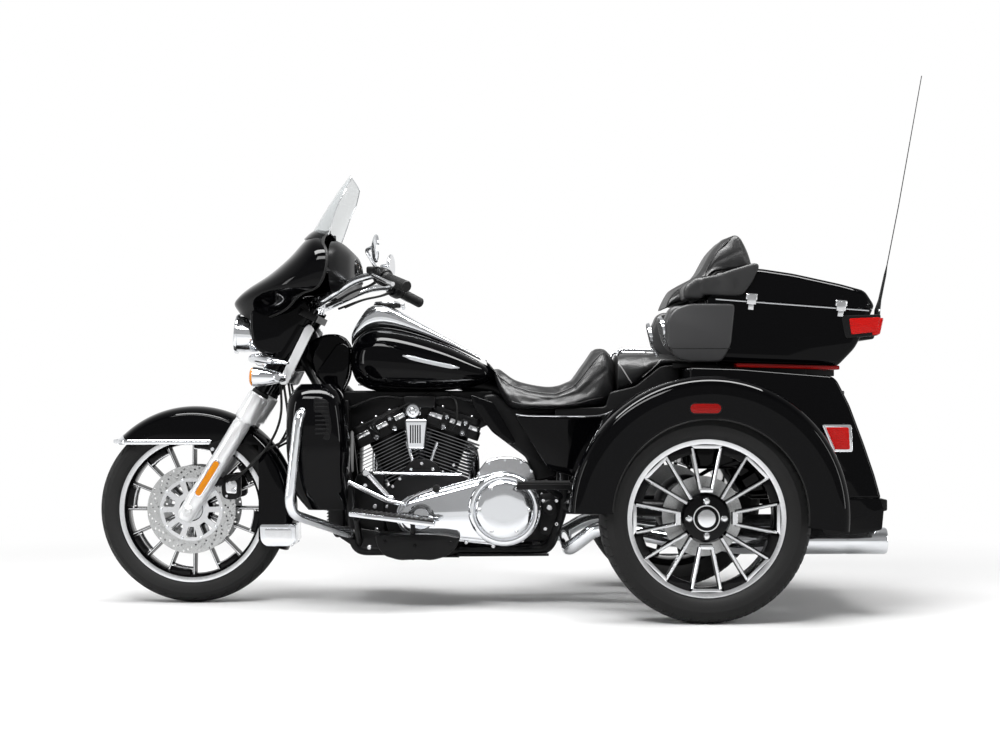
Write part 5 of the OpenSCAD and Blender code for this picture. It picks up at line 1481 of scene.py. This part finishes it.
gusset = plate([rounded([(690, 872), (600, 856), (560, 790), (560, 690), (600, 700), (650, 780)], 14)], -5, 5, 1.5)
piece("frame_tubes", joined(*frame_mesh, gusset), satin, "chassis", sharp=50, replaces=("frame",))
axle = [turned([(-516, 0.1), (-516, 20), (-486, 20), (-486, 40), (-480, 42), (-100, 42), (-94, 60), (-84, 92), (-60,
    106), (-20, 110),
    (20, 110), (60, 106), (84, 92), (94, 60), (100, 42), (480, 42), (486, 40), (486, 20), (516, 20), (516, 0.1)],
    (-622, 0, 325.3), steps=64, closed=False)]
for side in SIDES:
    axle.append(spun((-622, side * 170, 325.3), (-196, side * 112, 335), [(0, 0.1), (0, 26), (6, 28), (424, 28), (429,
        26), (429, 0.1)], 32))
    axle.append(turned([(side * 154, 0.1), (side * 154, 46), (side * 158, 48), (side * 182, 48), (side * 186, 46),
        (side * 186, 0.1)],
        (-622, 0, 325.3), steps=48, closed=False))
piece("rear_axle_housing", joined(*axle), satin, "chassis", sharp=45, replaces=("rear_axle",))
fins_case = moved(pattern(bolt((82, -88, 0), (0, -1, 0), 7, 6), 8, turn=(0, 45, 0)), -622, 0, 325.3)
piece("axle_bolts", fins_case, machined, "chassis")
print("frame ready")

# %% [markdown]
# ## Neck covers and side boxes
# Dark moulded covers close the space round the steering head and between the seat and the gearbox, where the
# real machine keeps its wiring, battery and oil tank. The dark block under the tank is partly painted shade.
# %% Neck covers and side boxes
neck = plate([rounded([(672, 880), (612, 914), (552, 914), (520, 870), (526, 770), (560, 700), (618, 706), (644, 780)],
    24)], 34, 62, 9)
rear_neck = plate([rounded([(640, 780), (560, 690), (548, 716), (526, 790), (520, 870), (560, 890)], 22)], 60, 72, 5)
stem = softened(plate([rounded([(760, 802), (704, 925), (640, 925), (628, 870), (640, 792), (704, 786)], 12)], -40, 40,
    8), 1)
piece("neck_covers", joined(mirrored(joined(softened(neck, 1), rear_neck)), stem), paint, "chassis", sharp=50)
battery = plate([rounded([(72, 708), (30, 712), (-30, 666), (-180, 664), (-180, 430), (-104, 412), (-74, 496), (44,
    584), (76, 640)], 14)], -88, 88, 10)
piece("battery_box", battery, satin, "chassis", sharp=50)
oil = plate([rounded([(-206, 600), (-560, 612), (-580, 560), (-470, 500), (-214, 470)], 22)], -104, 104, 10)
piece("under_seat_box", oil, satin, "chassis", sharp=50)
pan = plate([rounded([(-170, 618), (-170, 664), (-338, 668), (-352, 716), (-440, 738), (-521, 804), (-588, 810), (-588,
    650), (-560, 618)], 12)],
    -158, 158, 6)
piece("seat_pan", pan, satin, "chassis", sharp=50)
cooler = plate([rounded([(548, 690), (524, 690), (522, 440), (546, 430)], 6)], -94, 94, 4)
radiator = pattern(softened(box(546, 552, -90, 90, 446, 449), 1), 22, step=(0, 0, 11))
piece("oil_cooler", joined(cooler, radiator), satin, "chassis", sharp=50)
chin = plate([rounded([(596, 400), (540, 424), (536, 236), (566, 222), (592, 262)], 14)], -104, 104, 8)
chin_fins = pattern(softened(box(592, 598, -98, 98, 272, 276), 1), 11, step=(0, 0, 11))
mount = plate([rounded([(500, 440), (404, 446), (402, 212), (496, 196), (520, 300)], 16)], -88, 88, 5)
mount_bolts = [bolt((x, 88, z), (0, 1, 0), 8, 6) for x, z in ((470, 400), (436, 330), (478, 300), (430, 250))]
piece("front_engine_mount", joined(chin, chin_fins, mount), satin, "chassis", sharp=50)
piece("front_mount_bolts", mirrored(joined(*mount_bolts)), machined, "chassis")
# The block under the tank, above the cylinders, is partly the dark wiring and parts kept there and partly painted
# shade for that shaded space; the wire runs and the coil lie on it.
dark_parts_and_shade_block = plate([rounded([(548, 585), (548, 722), (34, 722), (46, 610), (96, 585)], 10)], -54, 54, 6)
runs_of_wire = [tube(bent([(60, y, 668), (160, y + 6, 704), (300, y + 2, 690), (420, y + 8, 706), (530, y, 660)], 50,
    8), 5, 12)
    for y in (66, 74)]
coil = softened(box(230, 340, 62, 96, 664, 706), 6)
piece("engine_loom_and_painted_shade", joined(dark_parts_and_shade_block, mirrored(joined(*runs_of_wire, coil))), satin, "chassis", sharp=50)
print("covers ready")

# %% [markdown]
# ## Rear body
# The body between the wheels is a luggage trunk. It is a shell with rolled edges and a doorway in its sloping rear
# wall. `hollow` gives a closed form its wall and `minus` cuts one form out of another.
# %% Trunk, door and plate panel


def minus(mesh, tool):
    """The first form with the second cut out of it."""
    cutter = bpy.data.objects.new("cutter", tool)
    bpy.context.scene.collection.objects.link(cutter)
    made = kept(mesh, "BOOLEAN", object=cutter, operation="DIFFERENCE", solver="EXACT")
    bpy.data.objects.remove(cutter)
    return made


def proper(mesh):
    """Faces out, doubled points merged."""
    work = bmesh.new()
    work.from_mesh(mesh)
    bmesh.ops.remove_doubles(work, verts=work.verts, dist=2e-5)
    bmesh.ops.recalc_face_normals(work, faces=work.faces)
    work.to_mesh(mesh)
    work.free()
    return mesh


X0 = -622
outer = proper(plate([rounded([(X0 + 30, 795), (X0 - 130, 790), (X0 - 425, 766), (X0 - 442, 752), (X0 - 482, 673),
    (X0 - 529, 547),
    (X0 - 562, 450), (X0 - 583, 374), (X0 - 160, 374), (X0 - 110, 470), (X0 + 30, 470)], 12, 4)], -428, 428, 10))
inner = proper(plate([[(X0 + 26, 790), (X0 - 130, 785), (X0 - 421, 761), (X0 - 437, 750), (X0 - 477, 672), (X0 - 524,
    546),
    (X0 - 557, 449), (X0 - 577, 379), (X0 - 163, 379), (X0 - 113, 475), (X0 + 26, 475)]], -422, 422))
body_shell = minus(minus(outer, inner), proper(box(X0 - 700, X0 - 400, -330, 330, 392, 722)))
skirt = plate([rounded([(X0 - 590, 340), (X0 - 584, 276), (X0 - 510, 262), (X0 - 400, 262), (X0 - 340, 376), (X0 - 580,
    376)], 8)],
    424, 428, 1)
ledge = plate([rounded([(X0 - 580, 374), (X0 - 601, 372), (X0 - 601, 337), (X0 - 570, 331), (X0 - 560, 374)], 5)],
    -427, 427, 2)
piece("trunk_shell", joined(body_shell, mirrored(skirt)), paint, "chassis", sharp=32, replaces=("trunk",))
piece("rear_ledge", ledge, satin, "chassis")
flat = [(-110, 262), (110, 262), (110, 350), (-110, 350)]
drilled = plate([rounded(flat, 8)] + [list(reversed(circle(a, b, 3.2, 16))) for a in (-73, 73) for b in (271, 341)],
    X0 - 602, X0 - 596, 0.8)
panel = placed(drilled, Matrix.Rotation(math.radians(-90), 4, "Z"))
panel.transform(Matrix.Scale(-1, 4, (0, 1, 0)))
piece("plate_panel", panel, satin, "chassis")
door = proper(plate([rounded([(X0 - 483.5, 720), (X0 - 464, 720.5), (X0 - 540, 393.5), (X0 - 577, 393.5), (X0 - 561.5,
    450),
    (X0 - 528.5, 547), (X0 - 481.5, 673)], 5, 3)], -328.5, 328.5, 4))
piece("trunk_door_panel", door, paint, "trunk_lid", sharp=32, replaces=("trunk_door",))
handle = softened(placed(box(-6, 8, -90, 90, -12, 12), Matrix.Translation(((X0 - 508) * MM, 0, 0.628))
    @ Matrix.Rotation(math.radians(18), 4, "Y")), 5)
rail = strip([(X0 - 560 - 3.2, -250 + 500 * i / 30, 450) for i in range(31)], (-1, 0, 0.3), 14, 4)
piece("trunk_door_trim", joined(handle, rail), chrome, "trunk_lid")
pins = [tube([(X0 - 580, s * 150 - 60, 388), (X0 - 580, s * 150 + 60, 388)], 5.1, 16) for s in SIDES]
piece("trunk_hinges", joined(*pins), machined, "chassis")
print("trunk ready")

# %% [markdown]
# Each fender is one pressing that leaves the trunk wall, runs out over the tyre and rolls down into a flat band
# round the wheel opening. The section below is that roll, and it is swept about the wheel.
# %% Rear fenders
section = [(428, 433), (520, 433), (610, 433), (640, 432.4), (660, 430.4), (674, 426.4), (684, 419.5), (690.4, 410.5),
    (693.8, 400),
    (694.9, 388), (694.6, 372), (693.6, 350), (692, 325), (690.6, 309), (690, 301), (687.6, 298.2), (684.6, 299.4),
    (685.6, 310),
    (687.6, 330), (689.4, 352), (690.4, 372), (690.6, 388), (689.6, 398), (686.4, 407.5), (680.6, 415.6), (671.6,
    422.4),
    (658.4, 426.5), (640, 428.5), (610, 429), (520, 429), (428, 429)]
rings = []
for i in range(121):
    a = math.radians(2 + 184 * i / 120)
    rings.append([(-630 + r * math.cos(a), y, 331.3 + r * math.sin(a)) for y, r in section])
guard_left = skin(rings)
for side, word in ((1, "left"), (-1, "right")):
    turn = Matrix.Scale(side, 4, (0, 1, 0))
    piece("fender_" + word + "_shell", placed(guard_left, turn), paint, "chassis", sharp=50,
        replaces=("fender_" + word,))
lip = [(-630 + 300 * math.cos(math.radians(3 + 182 * i / 90)), 689.5,
    331.3 + 300 * math.sin(math.radians(3 + 182 * i / 90)))
    for i in range(91)]
piece("fender_lips", mirrored(tube(lip, 2.6, 8)), grip_rubber, "chassis")


def stadium(x, z, half, r, turn=0.0):
    """A long outline with round ends."""
    out = []
    for end in (1, -1):
        for i in range(9):
            a = math.pi * (i / 8 - 0.5)
            p = Vector((end * (half - r + r * math.cos(a)), end * r * math.sin(a)))
            out.append((x + p.x * math.cos(turn) - p.y * math.sin(turn),
                z + p.x * math.sin(turn) + p.y * math.cos(turn)))
    return out


piece("fender_marker_bezels", mirrored(plate([stadium(-613, 664, 51, 18)], 691, 694.2, 0.8)), satin, "chassis")
piece("fender_markers", mirrored(plate([stadium(-613, 664, 47, 14.5)], 691.5, 694.9, 1.0)), deep_red_lens, "chassis")
lens_shape = [(X0 - 400, 603), (X0 - 476, 603), (X0 - 480, 532), (X0 - 430, 532)]
piece("tail_lenses", mirrored(plate([rounded(lens_shape, 7)], 427, 441, 3)), red_lens, "chassis",
    replaces=("rear_lamps",))
rim_line = strip([(X0 - 395 - 34 * i / 12, 440, 608 - 80 * i / 12) for i in range(13)], (0, 1, 0), 9, 3)
piece("tail_lens_trims", mirrored(joined(rim_line, plate([rounded([(X0 - 390, 612), (X0 - 486, 612), (X0 - 490, 524),
    (X0 - 424, 524)], 9)],
    426, 434, 2))), chrome, "chassis")
print("rear body ready")

# %% [markdown]
# ## Top case
# The case and its lid are one rounded form, split by a sloping joint. The lid carries the backrest. `parted`
# slices a walled form and closes the rim between the outer and the inner skin.
# %% Case and lid
whole = proper(plate([rounded([(-655, 830), (-700, 812), (-1090, 800), (-1146, 858), (-1172, 905), (-1205, 985),
    (-1211, 1000),
    (-1180, 1048), (-1100, 1070), (-945, 1104), (-835, 1120.5), (-690, 1111.5), (-655.5, 1028)], 16, 5)],
    -300, 300, 22))
case_wall = kept(whole, "SOLIDIFY", thickness=3.5 * MM, offset=-1, use_even_offset=False)
TILT = math.atan2(41, 550)


def parted(mesh, keep, gap):
    """The part of a walled form above (1) or below (-1) the case's joint, with its rim closed."""
    work = bmesh.new()
    work.from_mesh(mesh)
    way = Vector((-math.sin(TILT), 0, math.cos(TILT))) * keep
    cut = bmesh.ops.bisect_plane(work, geom=work.verts[:] + work.edges[:] + work.faces[:],
        plane_co=Vector((-0.655, 0, 1.027 + keep * gap * MM)), plane_no=way, clear_inner=True)
    edges = [e for e in cut["geom_cut"] if isinstance(e, bmesh.types.BMEdge)]
    bmesh.ops.bridge_loops(work, edges=edges)
    made = bpy.data.meshes.new("parted")
    work.to_mesh(made)
    work.free()
    return made


piece("case_shell", parted(case_wall, -1, 1.0), paint, "chassis", sharp=40, replaces=("case_base",))
piece("lid_shell", parted(case_wall, 1, 1.0), paint, "top_case_lid", sharp=40, replaces=("case_lid",))


def split(x):
    """Height of the joint at x."""
    return 1027 + (x + 655) * 41 / 550


band = [(-690 - 500 * i / 40, 299.4, split(-690 - 500 * i / 40) - 5.5) for i in range(41)]
piece("case_band", mirrored(strip(band, (0, 1, 0), 5, 2.4)), chrome, "chassis")
keeps, hooks = [], []
for x in (-806, -1098):
    z = split(x)
    lay = Matrix.Translation((x * MM, 0, z * MM)) @ Matrix.Rotation(TILT, 4, "Y").inverted()
    keeps.append(softened(placed(box(-9, 9, 299, 306, -32, -4), lay), 2))
    hooks.append(softened(placed(box(-19, 19, 299, 309, 1, 22), lay), 3))
    hooks.append(softened(placed(box(-15, 15, 307, 312, -14, 18), lay), 2))
piece("case_latches", joined(*keeps), polished, "chassis")
piece("lid_latches", joined(*hooks), polished, "top_case_lid")
barrels = []
for x in (-760, -1060):
    a, b = Vector((x, -306, split(x))), Vector((x - 60, -306, split(x - 60)))
    barrels.append(spun(a, b, [(0, 0.1), (0, 5.7), (60, 5.7), (60, 0.1)], 20))
    barrels.append(softened(box(x - 58, x - 2, -306, -299, split(x) - 32, split(x) - 8), 1))
piece("case_hinges", joined(*barrels), chrome, "chassis")
riser = plate([rounded([(-562, 794), (-562, 812), (-655, 818), (-700, 810), (-1098, 797), (-1098, 769), (-1000, 772),
    (-760, 786), (-600, 797)], 3)], -184, 184, 2)
racks = mirrored(plate([rounded([(-702, 812), (-1000, 803), (-1000, 761), (-752, 782)], 5)], 188, 212, 2))
piece("case_racks", joined(racks, riser), satin, "chassis")
strip_light = plate([rounded([(-760, 812), (-1098, 803), (-1098, 789), (-760, 798)], 5)], -282, 282, 2)
piece("case_light_strip", strip_light, deep_red_lens, "chassis")
lamp_shape = [(-1195, 956), (-1240, 956), (-1227, 902), (-1200, 898), (-1176, 908)]
side_lens = mirrored(plate([rounded([(-1124, 956), (-1226, 960), (-1216, 912), (-1132, 903)], 6)], 296, 309, 3))
corner = mirrored(plate([rounded([(-1196, 958), (-1238, 958), (-1226, 904), (-1200, 900)], 6)], 262, 307, 5))
piece("case_lamp", joined(plate([rounded(lamp_shape, 7)], -278, 278, 4), side_lens, corner), red_lens, "chassis")
surround = joined(plate([rounded([(-1150, 966), (-1222, 966), (-1214, 890), (-1150, 884)], 8)], -268, 268, 3),
    mirrored(plate([rounded([(-1098, 966), (-1230, 970), (-1218, 900), (-1112, 890)], 10)], 292, 304, 4)))
piece("case_lamp_surround", surround, satin, "chassis")
whip = [(-1228, 240, 952), (-1230, 240, 985), (-1238, 240, 1020), (-1256, 240, 1105), (-1262, 240, 1135), (-1300, 240,
    1330), (-1376, 240, 1758.5)]
piece("antenna_whip", tube(whip, [10.5, 10, 5.5, 4.2, 1.7, 1.6, 1.4], 12), satin, "chassis", sharp=60,
    replaces=("antenna",))
collars = [spun((-1231, 240, 984), (-1233, 240, 996), [(0, 0.1), (0, 9.5), (5, 9.5), (9, 7), (9, 0.1)], 20)]
piece("antenna_collar", joined(*collars), chrome, "chassis")
print("top case ready")

# %% [markdown]
# ## Speaker pods
# A grained box stands at each side of the passenger, with a perforated round grille in a bright ring. The holes are
# a pattern of turned dimples in rows.
# %% Speaker pods
pod = plate([rounded([(-655, 1004), (-545, 997), (-517, 930), (-531, 864), (-590, 818), (-655, 830)], 20)], 187, 289,
    12)
cheek = plate([rounded([(-533, 957), (-560, 990), (-606, 1005), (-746, 1005), (-753, 996), (-740, 869), (-717, 827),
    (-704, 814), (-600, 814),
    (-560, 827), (-534, 869)], 16)], 287, 307, 7)
joint_line = [(-537 - 200 * i / 20, 306.2, 858) for i in range(21)]
piece("pod_boxes", mirrored(joined(proper(pod), cheek)), abs_grey, "chassis", sharp=50, replaces=("speaker_pods",))
piece("pod_seams", mirrored(tube(joint_line, 1.6, 8)), satin, "chassis")
grille_at, grille_way = Vector((-524, 238, 917)), Vector((0.94, 0.05, -0.22)).normalized()
ring = spun(grille_at, grille_at + grille_way, [(-4, 45), (-4, 49), (5, 49), (7, 48), (7, 46.5), (5, 45.5)], 64)
dish = spun(grille_at, grille_at + grille_way, [(2, 0.1), (7, 0.1), (8.5, 20), (8, 45.4), (2, 45.4)], 48)
piece("pod_rings", mirrored(ring), chrome, "chassis")
piece("pod_grilles", mirrored(dish), satin, "chassis")
dimples = []
for row_number, count in ((9, 6), (18, 12), (27, 18), (36, 24)):
    hole = turned([(8.4, 0.1), (9.4, 1.2), (9.4, 2.6), (8.2, 2.8)], (row_number, 0, 0), steps=10, closed=False)
    dimples.append(pattern(hole, count, turn=(0, 360 / count, 0), material=satin))
lay = Matrix.Translation(grille_at * MM) @ Vector((0, 1, 0)).rotation_difference(grille_way).to_matrix().to_4x4()
piece("pod_grille_studs", mirrored(placed(joined(*dimples), lay)), satin, "chassis")
print("pods ready")

# %% [markdown]
# ## Seats
# A seat is foam under a stretched vinyl cover. Each form starts a little smaller than its final size. A cloth
# simulation then blows it up gently, with its underside held, so the cover swells between its seams as the real one
# does. How far a point may move is capped. Seams and piping come afterwards.
# %% Cushions by cloth simulation


def stuffed(forms, voxel=8.0, shrink=7.0, cap=13.0, steps=20):
    """Remeshes each form, inflates it as cloth for some frames, and returns the settled meshes."""
    made = [kept(proper(mesh), "REMESH", mode="VOXEL", voxel_size=voxel * MM) for mesh in forms]
    holders = []
    for mesh in made:
        for vertex, normal in [(v, v.normal.copy()) for v in mesh.vertices]:
            vertex.co -= normal * shrink * MM
        mesh.update()
        holder = bpy.data.objects.new("cushion", mesh)
        bpy.context.scene.collection.objects.link(holder)
        held = holder.vertex_groups.new(name="held")
        held.add([v.index for v in mesh.vertices if v.normal.z < -0.55], 1.0, "REPLACE")
        cloth = holder.modifiers.new("cover", "CLOTH")
        cover = cloth.settings
        cover.quality, cover.mass, cover.vertex_group_mass = 5, 0.2, "held"
        cover.tension_stiffness = cover.compression_stiffness = 12
        cover.shear_stiffness, cover.bending_stiffness = 6, 0.4
        cover.use_pressure, cover.uniform_pressure_force = True, 4
        cover.effector_weights.gravity = 0
        cloth.point_cache.frame_start, cloth.point_cache.frame_end = 1, steps
        holders.append((holder, [v.co.copy() for v in mesh.vertices]))
    for number in range(1, steps + 1):
        bpy.context.scene.frame_set(number)
    done = []
    for holder, before in holders:
        after = bpy.data.meshes.new_from_object(holder.evaluated_get(bpy.context.evaluated_depsgraph_get()))
        for vertex, start in zip(after.vertices, before):
            move = vertex.co - start
            if move.length > cap * MM:
                vertex.co = start + move.normalized() * cap * MM
        bpy.data.objects.remove(holder)
        done.append(kept(after, "SUBSURF", levels=1, render_levels=1))
    bpy.context.scene.frame_set(1)
    return done


def sewn(mesh, line, depth, wide, plane="XZ"):
    """Pulls the cover in along a seam, given as a line of points seen from the side or from above."""
    axes = (0, 2) if plane == "XZ" else (0, 1)
    points = [Vector(p) * MM for p in line]
    for vertex, normal in [(v, v.normal.copy()) for v in mesh.vertices]:
        here = Vector((vertex.co[axes[0]], vertex.co[axes[1]]))
        best = 1.0
        for a, b in zip(points, points[1:]):
            run = b - a
            t = max(0.0, min(1.0, (here - a).dot(run) / run.length_squared))
            best = min(best, (here - a - run * t).length)
        if best < wide * 3 * MM:
            vertex.co -= normal * depth * MM * math.exp(-(best / (wide * MM)) ** 2)
    mesh.update()


def laid(mesh, path, lift):
    """A path pressed onto the nearest places of a surface, lifted a little."""
    tree_of = BVHTree.FromPolygons([v.co for v in mesh.vertices], [p.vertices for p in mesh.polygons])
    out = []
    for point in path:
        place, normal, _, _ = tree_of.find_nearest(Vector(point) * MM)
        out.append((place + normal * lift * MM) / MM)
    return smooth([list(p) for p in out], 2)


rider_rows = [[-368, 158, 670, 838, 3], [-331, 178, 655, 882, 3], [-272, 186, 650, 806, 3.4], [-230, 188, 648, 754,
    3.6],
    [-157, 188, 648, 729, 3.6], [-50, 178, 651, 747, 3.4], [0, 148, 676, 778, 3], [40, 103, 772, 813, 2.6],
    [66, 48, 806, 836, 2.2]]
pillion_rows = [[-640, 150, 802, 826, 3], [-584, 160, 798, 842, 3], [-521, 168, 790, 846, 3.2], [-440, 171, 722, 851,
    3.4],
    [-374, 171, 700, 851, 3.4]]
back_outline = rounded([(-538, 988), (-533, 1010), (-562, 1058), (-656, 1105), (-701, 1188), (-768, 1255), (-797,
    1243),
    (-842, 1122), (-692, 1113), (-657, 1032), (-562, 1003)], 22, 4)
forms = [loft(rider_rows, 8, 56), loft(pillion_rows, 8, 56), proper(plate([back_outline], -168, 168, 18))]
rider, pillion, back = stuffed(forms)

# The side wings wrap the lid's front corners: a full block ahead of the lid and a thin cheek beside it.
wing_front = rounded([(-583, 1019), (-584, 1058), (-620, 1089), (-651, 1092), (-651, 1019)], 14, 4)
wing_side = rounded([(-640, 1032), (-640, 1090), (-689, 1098), (-754, 1120), (-822, 1140), (-834, 1126), (-808, 1072),
    (-776, 1030),
    (-750, 1027)], 12, 4)
wings = []
for side in SIDES:
    block = proper(joined(proper(plate([wing_front], 164, 314, 10)), proper(plate([wing_side], 301, 316, 4))))
    if side < 0:
        block.transform(Matrix.Scale(-1, 4, (0, 1, 0)))
        block.flip_normals()
    puffed = kept(block, "REMESH", mode="VOXEL", voxel_size=4.5 * MM)
    wings.append(kept(puffed, "SMOOTH", factor=0.5, iterations=9))
print("cushion vertices:", [len(m.vertices) for m in (rider, pillion, back, *wings)])

# %% [markdown]
# The rider's seat has a welt round its top and cross seams in the dish. The pillion seat has light piping. The
# backrest has a welt along its edge.
# %% Seams and piping
sewn(rider, [(-236, -170), (-228, 0), (-236, 170)], 2.4, 5, "XY")
sewn(rider, [(40, 790), (-40, 716), (-150, 690), (-250, 712), (-340, 790)], 3.0, 5)
sewn(rider, [(-150, 690), (-215, 740), (-262, 830)], 2.2, 5)
sewn(pillion, [(-470, -160), (-470, 160)], 2.4, 4, "XY")
sewn(back, [(-560, 1030), (-668, 1096), (-706, 1150), (-790, 1190)], 2.6, 4)
for mesh in (rider, pillion, back):
    work = bmesh.new()
    work.from_mesh(mesh)
    for _ in range(4):
        bmesh.ops.smooth_vert(work, verts=work.verts, factor=0.5, use_axis_x=True, use_axis_y=True, use_axis_z=True)
    work.to_mesh(mesh)
    work.free()
rider_pad = piece("rider_seat_pad", rider, leather, "chassis", sharp=180, replaces=("rider_seat",))
pillion_pad = piece("passenger_seat_pad", pillion, leather, "chassis", sharp=180, replaces=("passenger_seat",))
back_pad = piece("backrest_pad", joined(back, *wings), leather, "top_case_lid", sharp=180, replaces=("backrest",))
welts = []
for side in SIDES:
    top_line = [(x, side * (w * 0.80), low + (high - low) * 0.86) for x, w, low, high, n in smooth([list(map(float,
        r)) for r in rider_rows], 5)][4:-3]
    welts.append(tube(laid(rider, top_line, 0.6), 2.4, 8))
    low_line = [(x, side * (w * 1.0), low + 22) for x, w, low, high, n in smooth([list(map(float,
        r)) for r in rider_rows], 5)][4:-12]
    welts.append(tube(laid(rider, low_line, 0.4), 2.2, 8))
piece("seat_welts", joined(*welts), leather, "chassis")
piping = []
for side in SIDES:
    for x0, x1 in ((-368, -438), (-524, -496)):
        line = [(x0 + (x1 - x0) * i / 10, side * 172, 842 - 120 * (i / 10)) for i in range(11)]
        piping.append(tube(laid(pillion, [p for p in line if p[2] > 730], 0.5), 2.0, 8))
light_vinyl, tree, surface = shader("light_grey_piping", Base_Color=linear("#9C9C9C"), Specular_IOR_Level=0.3)
roughened(tree, surface, 900, 0.4, 0.55, bump=0.01)
piece("seat_piping", joined(*piping), light_vinyl, "chassis")
piece("backrest_welts", joined(*[tube(laid(back, [(x, s * 160, z) for x, z in back_outline[4:27]], 0.5), 2.4,
    8) for s in SIDES]),
    leather, "top_case_lid")
grab = [tube(bent([(-376, s * 182, 838), (-384, s * 186, 858), (-500, s * 186, 856), (-512, s * 182, 836)], 14, 6), 6,
    14) for s in SIDES]
piece("grab_rails", joined(*grab), chrome, "chassis")
under = [[-40, 184, 643], [-62, 184, 639], [-100, 184, 637], [-186, 184, 636], [-296, 184, 636.5], [-340, 184, 645],
    [-389, 184, 670]]
under = mirrored(strip([tuple(p) for p in smooth([list(map(float, p)) for p in under], 6)], (0, 1, 0), 5, 4))
piece("seat_trims", under, chrome, "chassis")
print("seats ready")

# %% [markdown]
# ## Finish of the solids that stay
# The crankcase is shown as it was designed. It only gets its coating.
# %% Carried-over solids
for name, finish_of in {"engine_case": wrinkle}.items():
    for slot in nodes[name].material_slots:
        slot.material = finish_of
print("solids kept:", [n for n, o in nodes.items() if not o.hide_render])
